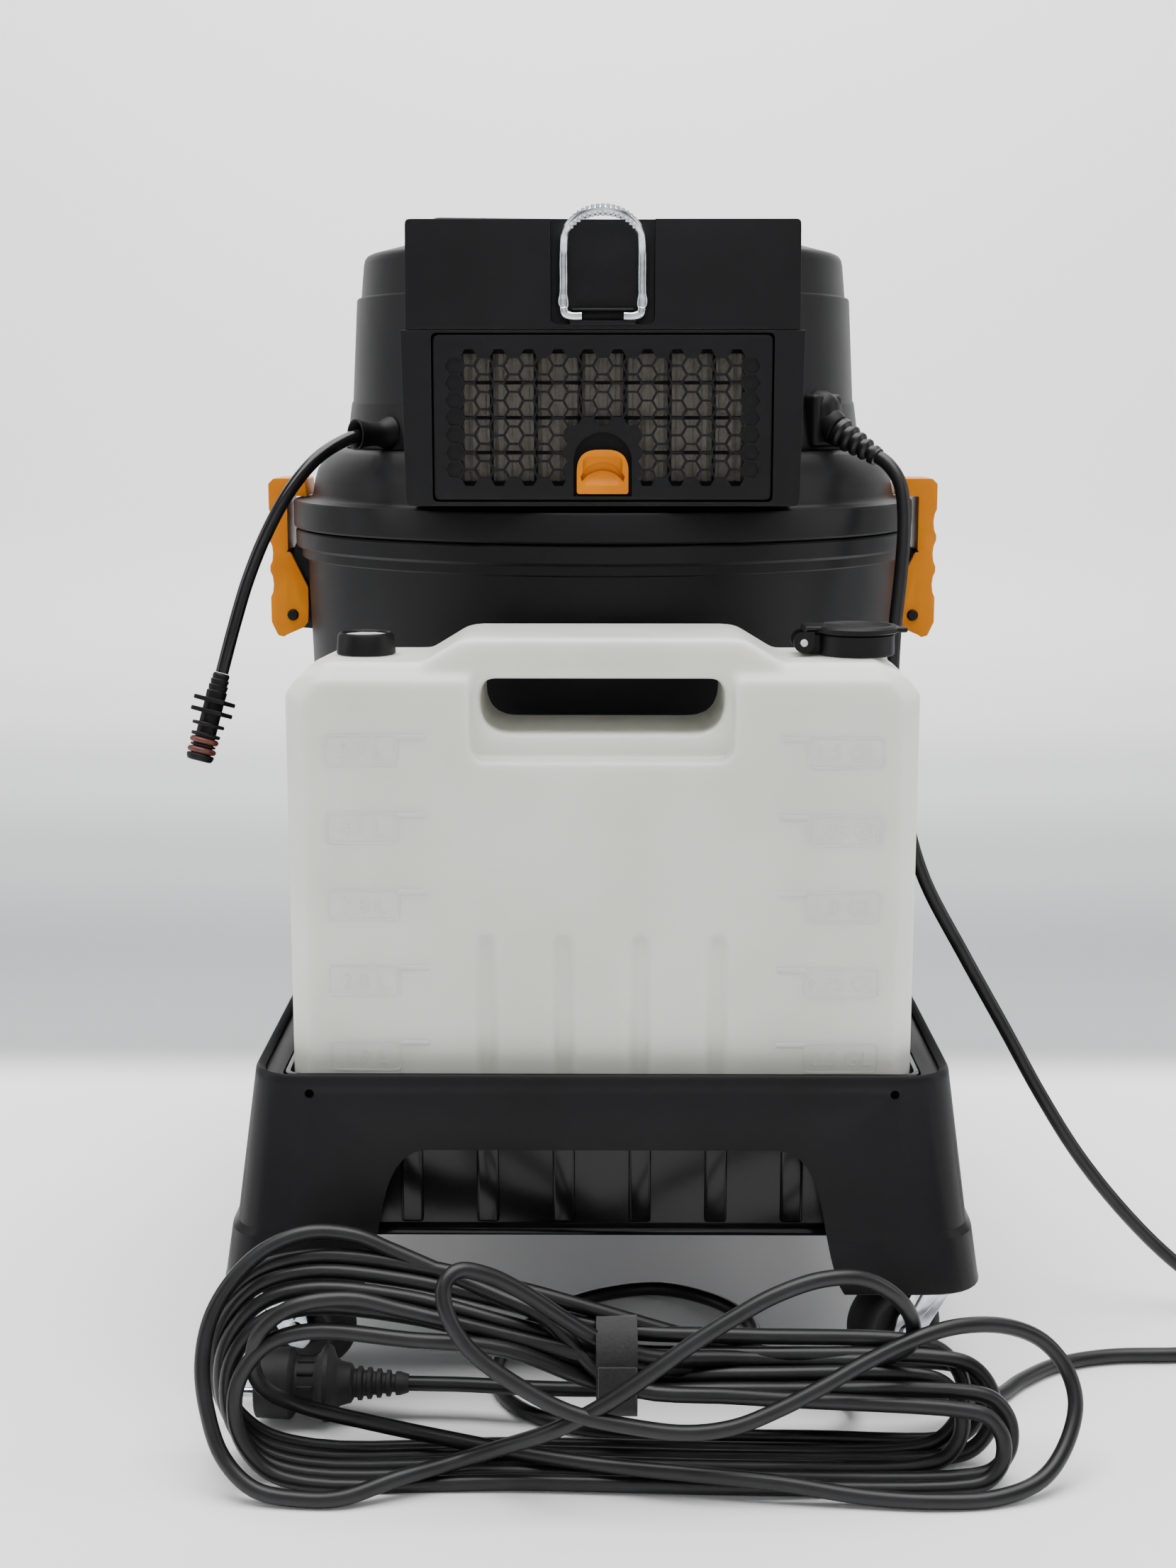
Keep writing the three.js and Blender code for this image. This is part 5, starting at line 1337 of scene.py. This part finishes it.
def measuring_marks():
    """the raised scale down both sides of the rear face"""
    marks = []
    for k, (litres, gallons) in enumerate(SCALE):
        top = SCALE_TOP - SCALE_PITCH * k
        marks += mark(litres, -132.6, -98, -84.5, top)
        marks += mark(gallons, 98, 134.6, 85.5, top - 1)
    return gather(*marks)


finish_piece(tank(), "tank", "hdpe_natural", HDPE, "solution_tank", angle=50)
finish_piece(measuring_marks(), "tank", "hdpe_natural", HDPE_RAISED, angle=50)


def outlet_ring():
    low, high = node_box("outlet_cap")
    r = (high.x - low.x) / 2
    return turned("outlet_ring", [
        (r - 3.2, low.z), (r - 0.6, low.z), (r, low.z + 0.7), (r - 0.7, high.z - 1.4), (r - 1.8, high.z),
        (r - 2.6, high.z),
        (r - 3.2, high.z - 0.6), (r - 3.2, low.z),
    ], 64, at=(OUTLET_X, TANK_MID_Y))


finish_piece(outlet_ring(), "outlet_nut", "gloss_black", SATIN, "outlet_cap")

lid_pin_low, lid_pin_high = node_box("filler_lid_pin")
LID_PIN_X = (lid_pin_low.x + lid_pin_high.x) / 2
LID_PIN_Z = (lid_pin_low.z + lid_pin_high.z) / 2
LID_UNDER = LID_PIN_Z + 4.5


def filler_ring():
    low, high = node_box("filler_collar")
    r = high.x - FILLER_X
    obj = turned("filler_ring", [
        (r - 3.2, low.z), (r - 0.5, low.z), (r, low.z + 0.6), (r, high.z - 0.8), (r - 0.6, high.z),
        (r - 3.2, high.z), (r - 3.2, low.z),
    ], 72, at=(FILLER_X, TANK_MID_Y))
    arm = block(
        "collar_arm", (LID_PIN_X, TANK_MID_Y - 5.9, low.z + 0.8),
        (FILLER_X - r + 1.2, TANK_MID_Y + 5.9, LID_UNDER - 1),
    )
    weld(obj, arm)
    weld(
        obj,
        round_bar("collar_knuckle", "y", 3.5, TANK_MID_Y - 5.9, TANK_MID_Y + 5.9, (LID_PIN_X, LID_PIN_Z), 32),
    )
    cut(obj, round_bar("collar_bore", "y", 2.1, TANK_MID_Y - 20, TANK_MID_Y + 20, (LID_PIN_X, LID_PIN_Z), 24))
    return softened(obj, 0.35, 2, 50)


def flip_lid():
    z0 = LID_UNDER
    mid = TANK_MID_Y
    plate = turned("flip_lid", [
        (0, z0), (20.4, z0), (21, z0 + 0.6), (21, z0 + 2.4), (20, z0 + 3.4), (17, z0 + 3.5), (16.4, z0 + 3.1),
        (0, z0 + 3.1),
    ], 72, at=(FILLER_X, mid))
    arm = block("lid_arm", (LID_PIN_X, mid - 10, z0), (FILLER_X - 14, mid + 10, z0 + 3.5))
    weld(plate, softened(arm, 1, 3))
    for y in (mid - 10, mid + 7):
        cheek = block("cheek", (LID_PIN_X, y, LID_PIN_Z), (LID_PIN_X + 5, y + 3, z0 + 2))
        weld(cheek, round_bar("cheek_disc", "y", 5, y, y + 3, (LID_PIN_X, LID_PIN_Z), 40))
        weld(plate, softened(cheek, 0.6, 2, 50))
    nib = block("nib", (FILLER_X + 18, mid - 5, z0), (FILLER_X + 25, mid + 5, z0 + 2.5))
    weld(plate, softened(nib, 1, 3))
    cut(plate, round_bar("lid_bore", "y", 2.1, mid - 20, mid + 20, (LID_PIN_X, LID_PIN_Z), 24))
    return plate


finish_piece(filler_ring(), "tank", "gloss_black", SATIN, "filler_collar")
finish_piece(flip_lid(), "filler_flap", "gloss_black", SATIN, "filler_lid")
pin_half = (lid_pin_high.y - lid_pin_low.y) / 2
hinge_pin = pin_along_y("lid_hinge_pin", 1.8, pin_half, (LID_PIN_X, TANK_MID_Y, LID_PIN_Z), 24)
finish_piece(hinge_pin, "tank", "hdpe_natural", HDPE, "filler_lid_pin")


# ------------------------------------------------------------------ hose port and fitting
def on_cover(obj, angle, radius, z, droop=0.0):
    """a piece turned about Z becomes one that points out from the cover"""
    stand = place_mm(0, DRUM_Y, z) @ Matrix.Rotation(math.radians(angle), 4, "Z") @ place_mm(radius, 0, 0)
    return moved(obj, stand @ Matrix.Rotation(math.pi / 2 + droop, 4, "Y"))


def hose_port():
    sleeve = turned("hose_port", [
        (4.7, -5), (8.2, -5), (9.6, -0.5), (9, 0.8), (8, 3), (6.6, 5.6), (6.2, 9), (6.5, 14), (7.6, 19),
        (8.3, 20.6), (8.2, 21.4), (7.6, 21.6),
        (6.9, 20.8), (5.4, 16), (4.7, 12), (4.7, -5),
    ], 48)
    on_cover(sleeve, PORT_ANGLE, COVER_R - 0.8, PORT_Z)
    return cut(sleeve, keep_out(0))


finish_black(hose_port(), "solution_hose_port")

HOSE_END = Vector(HOSE[-1])
HOSE_AIM = (HOSE_END - Vector(HOSE[-2])).normalized()


AT_HOSE_END = place_mm(*HOSE_END) @ Vector((0, 0, 1)).rotation_difference(HOSE_AIM).to_matrix().to_4x4()


def on_hose(name, profile):
    return moved(turned(name, profile, 48), AT_HOSE_END)


def flange(z, half):
    """a square plate with rounded corners across the fitting"""
    plate = rounded_slab("flange", (-half, half, -half, half, 2.4), "z", z, z + 2.3)
    return moved(softened(plate, 0.5, 2, 50), AT_HOSE_END)


def fitting():
    stem = on_hose("hose_fitting", [
        (0, 0.3), (3.9, 0.3), (4.5, 1.4), (4.2, 3.4), (4.9, 4), (4.4, 6.4), (5.2, 7), (4.7, 9.6),
        (5.4, 10.2), (5.2, 14), (5.2, 27), (8.1, 27.1), (8.5, 27.6),
        (8.5, 28.5), (8.1, 29), (5.3, 29.1), (5.3, 32.5), (7.3, 32.6), (7.6, 33), (7.6, 34.1), (7.2, 34.5),
        (5.3, 34.7), (5.3, 38.4), (6.6, 38.7), (6.6, 39.7),
        (5.3, 40), (5.3, 43.6), (6.9, 43.9), (7.2, 44.4), (7, 45.8), (6.2, 47.2), (5, 47.5), (0, 47.5),
    ])
    return gather(stem, flange(14, 8.9), flange(20, 8.9))


hose_fitting = fitting()
finish_black(hose_fitting, "hose_connector")
for ring_name, at in (("o_ring_upper", 35.0), ("o_ring_lower", 40.2)):
    ring = on_hose(f"{ring_name}_seal", [(r, z) for r, z in arc(6.0, at + 1.6, 1.6, 0, 360, 16)])
    finish_piece(ring, "machine", "brown_rubber", SEAL, ring_name)


# ------------------------------------------------------------------ lead boss, boot, plug and tie
def lead_boss():
    block_low = (COVER_R - 12, -14.5, -15.5)
    block_high = (COVER_R + 3, 14.5, 13)
    stand = place_mm(0, DRUM_Y, CORD_Z) @ Matrix.Rotation(math.radians(CORD_ANGLE), 4, "Z")
    base = moved(softened(block("lead_boss", block_low, block_high), 3, 4), stand)
    nose = turned("nose", [(0, 0), (10.4, 0), (10, 6), (9.4, 10), (8.4, 13), (7, 14), (0, 14)], 48)
    on_cover(nose, CORD_ANGLE, BOSS_FOOT, CORD_Z, CORD_DROOP)
    weld(base, nose)
    dome = turned("dome", [(0, -4), (12.5, -4), (12, 1), (10, 5.5), (6.5, 8.8), (0, 10)], 48)
    on_cover(dome, CORD_ANGLE, COVER_R - 2, CORD_Z + 3)
    weld(base, dome)
    cut(base, keep_out(0.1))
    return biggest_shell(base)


finish_black(lead_boss(), "cord_boss")


def strain_relief():
    """tapered boot with five soft rings"""
    profile = [(0, 0.3), (7.8, 0.3), (8.2, 0.8), (8.2, 3.6), (7.7, 4.2)]
    for k in range(4):
        z = 5.4 + 5.6 * k
        r = 7.5 - 0.75 * k
        profile += [(r - 1.3, z), (r - 1.3, z + 1.5), (r, z + 2.1), (r + 0.1, z + 3.6), (r - 0.3, z + 4.3)]
    profile += [
        (4.9, BOOT_LENGTH), (4.4, BOOT_LENGTH + 0.3), (3.2, BOOT_LENGTH + 0.3), (0, BOOT_LENGTH + 0.3),
    ]
    boot = turned("strain_relief", profile, 48)
    drop = BOSS_NOSE
    radius = BOSS_FOOT + drop * math.cos(CORD_DROOP)
    return on_cover(boot, CORD_ANGLE, radius, CORD_Z - drop * math.sin(CORD_DROOP), CORD_DROOP)


boot_piece = strain_relief()
finish_piece(boot_piece, "machine", "pvc_black", SHEATH, "cord_boot")

PLUG_Y = (plug_low.y + plug_high.y) / 2
PLUG_Z = plug_high.z / 2 + 0.1
PLUG_FACE = plug_low.x + 19
PLUG_PINS = 19


def plug():
    """round moulded plug, its pins to the left, a ringed boot behind its grip"""
    r = 18.4
    length = plug_high.x - PLUG_FACE
    profile = [
        (0, 3), (13.6, 3), (14, 0.4), (15.6, 0), (16.4, 0.6), (17.2, 16.4), (16.4, 17.6), (13.4, 19.4),
        (13, 21), (13, 28), (14.2, 30.4),
        (17.6, 32.4), (r, 33.4), (r, 35.4), (17.4, 36.6), (12.4, 38.6), (10.6, 41), (9.4, 46),
    ]
    for k in range(5):
        z = 47.5 + 4.6 * k
        rib = 8.2 - 0.62 * k
        profile += [(rib - 1.4, z), (rib - 1.4, z + 1.5), (rib, z + 2), (rib, z + 3.8)]
    profile += [(4.6, length - 0.6), (4.2, length), (0, length)]
    body = turned("lead_plug", profile, 64)
    grips = []
    for k in range(12):
        a = TAU * (k + 0.5) / 12
        grips.append(
            softened(
                block(
                    "grip", (13.1 * math.cos(a) - 1, 13.1 * math.sin(a) - 1, 20.6),
                    (13.1 * math.cos(a) + 1, 13.1 * math.sin(a) + 1, 28.6),
                ),
                0.6, 2,
            ),
        )
    gather(body, *grips)
    return moved(body, place_mm(PLUG_FACE, PLUG_Y, PLUG_Z) @ Matrix.Rotation(math.pi / 2, 4, "Y"))


plug_piece = plug()
finish_piece(plug_piece, "machine", "rubber", RUBBER, "mains_plug")
plug_pins = []
for pin_y in (-9.5, 9.5):
    pin = turned(
        "plug_pin",
        [(0, -PLUG_PINS), (1.6, -PLUG_PINS), (2.3, -PLUG_PINS + 1), (2.4, -PLUG_PINS + 2), (2.4, 5), (0, 5)],
        32,
    )
    plug_pins.append(
        moved(pin, place_mm(PLUG_FACE, PLUG_Y + pin_y, PLUG_Z) @ Matrix.Rotation(math.pi / 2, 4, "Y")),
    )
pins_piece = gather(*plug_pins)
pins_piece.name = "plug_pins"
finish_piece(pins_piece, "machine", "zinc", ZINC)


def strap():
    """hook-and-loop tape wrapped round the gathered turns, its end lying over itself"""
    y0, y1, z0, z1 = -298, -260, 30, 70
    outer = filleted(rounded_box(y0, y1, z0, z1, 11, 11, 12, 12), 5)
    obj = slab("lead_strap", outer, "x", TIE_X - 9.5, TIE_X + 9.5)
    inner = filleted(rounded_box(y0 + 1.5, y1 - 1.5, z0 + 1.5, z1 - 1.5, 9.6, 9.6, 10.6, 10.6), 5)
    cut(obj, slab("strap_room", inner, "x", TIE_X - 20, TIE_X + 20))
    end = softened(
        block("strap_end", (TIE_X - 8.5, y0 - 1.6, z0 + 10), (TIE_X + 9, y0 + 0.4, z1 - 12)), 0.6, 2,
    )
    return gather(obj, end)


strap_piece = strap()
finish_piece(strap_piece, "machine", "hook_and_loop", NAP, "cord_tie")

# ------------------------------------------------------------------ CAD nodes carried over
CARRIED = {
    "motor_mount": SATIN, "fan_housing": GLOSS, "suction_motor": SHEET_STEEL, "impeller": SHEET_STEEL,
    "solution_pump": SATIN, "float_cage": SATIN, "shutoff_float": AMBER,
}
for node_name, look in CARRIED.items():
    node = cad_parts[node_name]
    node.data.materials.clear()
    node.data.materials.append(look)

# ------------------------------------------------------------------ floor, backdrop and light
def painted_board():
    # Seamless paper sweep: near-white and matt. Painted shade: the floor behind the object is painted grey
    # and clears again towards the wall, standing in for the studio light falling off and coming back.
    made, tree, shader = surface("paper_sweep_painted_shade", "e6e6e7", 0.85)
    where = add(tree, "ShaderNodeTexCoord")
    axes = add(tree, "ShaderNodeSeparateXYZ", {"Vector": where.outputs["Object"]})
    depth = add(tree, "ShaderNodeMapRange", {"Value": axes.outputs["Y"], "From Min": 0.0, "From Max": 2.5})
    ramp = add(tree, "ShaderNodeValToRGB", {"Fac": depth.outputs["Result"]})
    ramp.color_ramp.interpolation = "EASE"
    ramp.color_ramp.elements[0].color = linear("f6f6f7")
    ramp.color_ramp.elements[1].color = linear("fafafa")
    # painted shade: grey bands along the floor where the studio light falls off behind the object
    painted_falloff_shades = (
        (0.108, "f6f6f7"), (0.150, "9b9c9e"), (0.27, "909193"), (0.42, "a3a4a6"), (0.62, "bfc0c2"),
        (0.9, "e2e2e4"),
    )
    for position, tint in painted_falloff_shades:
        ramp.color_ramp.elements.new(position).color = linear(tint)
    tree.links.new(ramp.outputs["Color"], shader.inputs["Base Color"])
    grained(tree, shader, where, 2.5, 0.02, 0.8, 0.9)
    return made


def sweep():
    """floor that curves up into a wall at each end, outside every camera position"""
    side = [
        (-3600, 2600), *arc(-3300, 300, 300, 180, 270, 16), *arc(2200, 300, 300, 270, 360, 16),
        (2500, 2600),
    ]
    points = [(-8000, y, z) for y, z in side]
    obj = chain("studio_sweep", points)
    edit(obj)
    bpy.ops.mesh.extrude_region_move(TRANSFORM_OT_translate={"value": (16000 * MM, 0, 0)})
    bpy.ops.mesh.normals_make_consistent(inside=True)
    leave(obj)
    alone(obj)
    bpy.ops.object.shade_smooth()
    obj.data.materials.append(painted_board())
    return obj


sweep()


def softbox(name, place, aim, size, power):
    data = bpy.data.lights.new(name, "AREA")
    data.shape = "RECTANGLE"
    data.size, data.size_y = size
    data.energy = power
    lamp = bpy.data.objects.new(name, data)
    bpy.context.collection.objects.link(lamp)
    lamp.location = place
    lamp.rotation_euler = (Vector(aim) - Vector(place)).to_track_quat("-Z", "Y").to_euler()
    return lamp


softbox("key_overhead", (0, -0.3, 2.6), (0, 0, 0.2), (2.6, 2.0), 128)
softbox("front_high", (0.1, -2.9, 2.1), (0, 0, 0.25), (2.4, 1.0), 9)
softbox("side_left", (-2.4, -0.2, 1.2), (0, 0.1, 0.4), (1.0, 1.8), 18)
softbox("side_right", (2.4, -0.2, 1.2), (0, 0.1, 0.4), (1.0, 1.8), 18)
softbox("wall_wash", (0, 1.1, 2.6), (0, 2.4, 0.7), (3.4, 0.8), 95)

world = bpy.context.scene.world or bpy.data.worlds.new("studio")
bpy.context.scene.world = world
world.use_nodes = True
world.node_tree.nodes["Background"].inputs["Color"].default_value = (0.82, 0.83, 0.85, 1)
world.node_tree.nodes["Background"].inputs["Strength"].default_value = 0.13
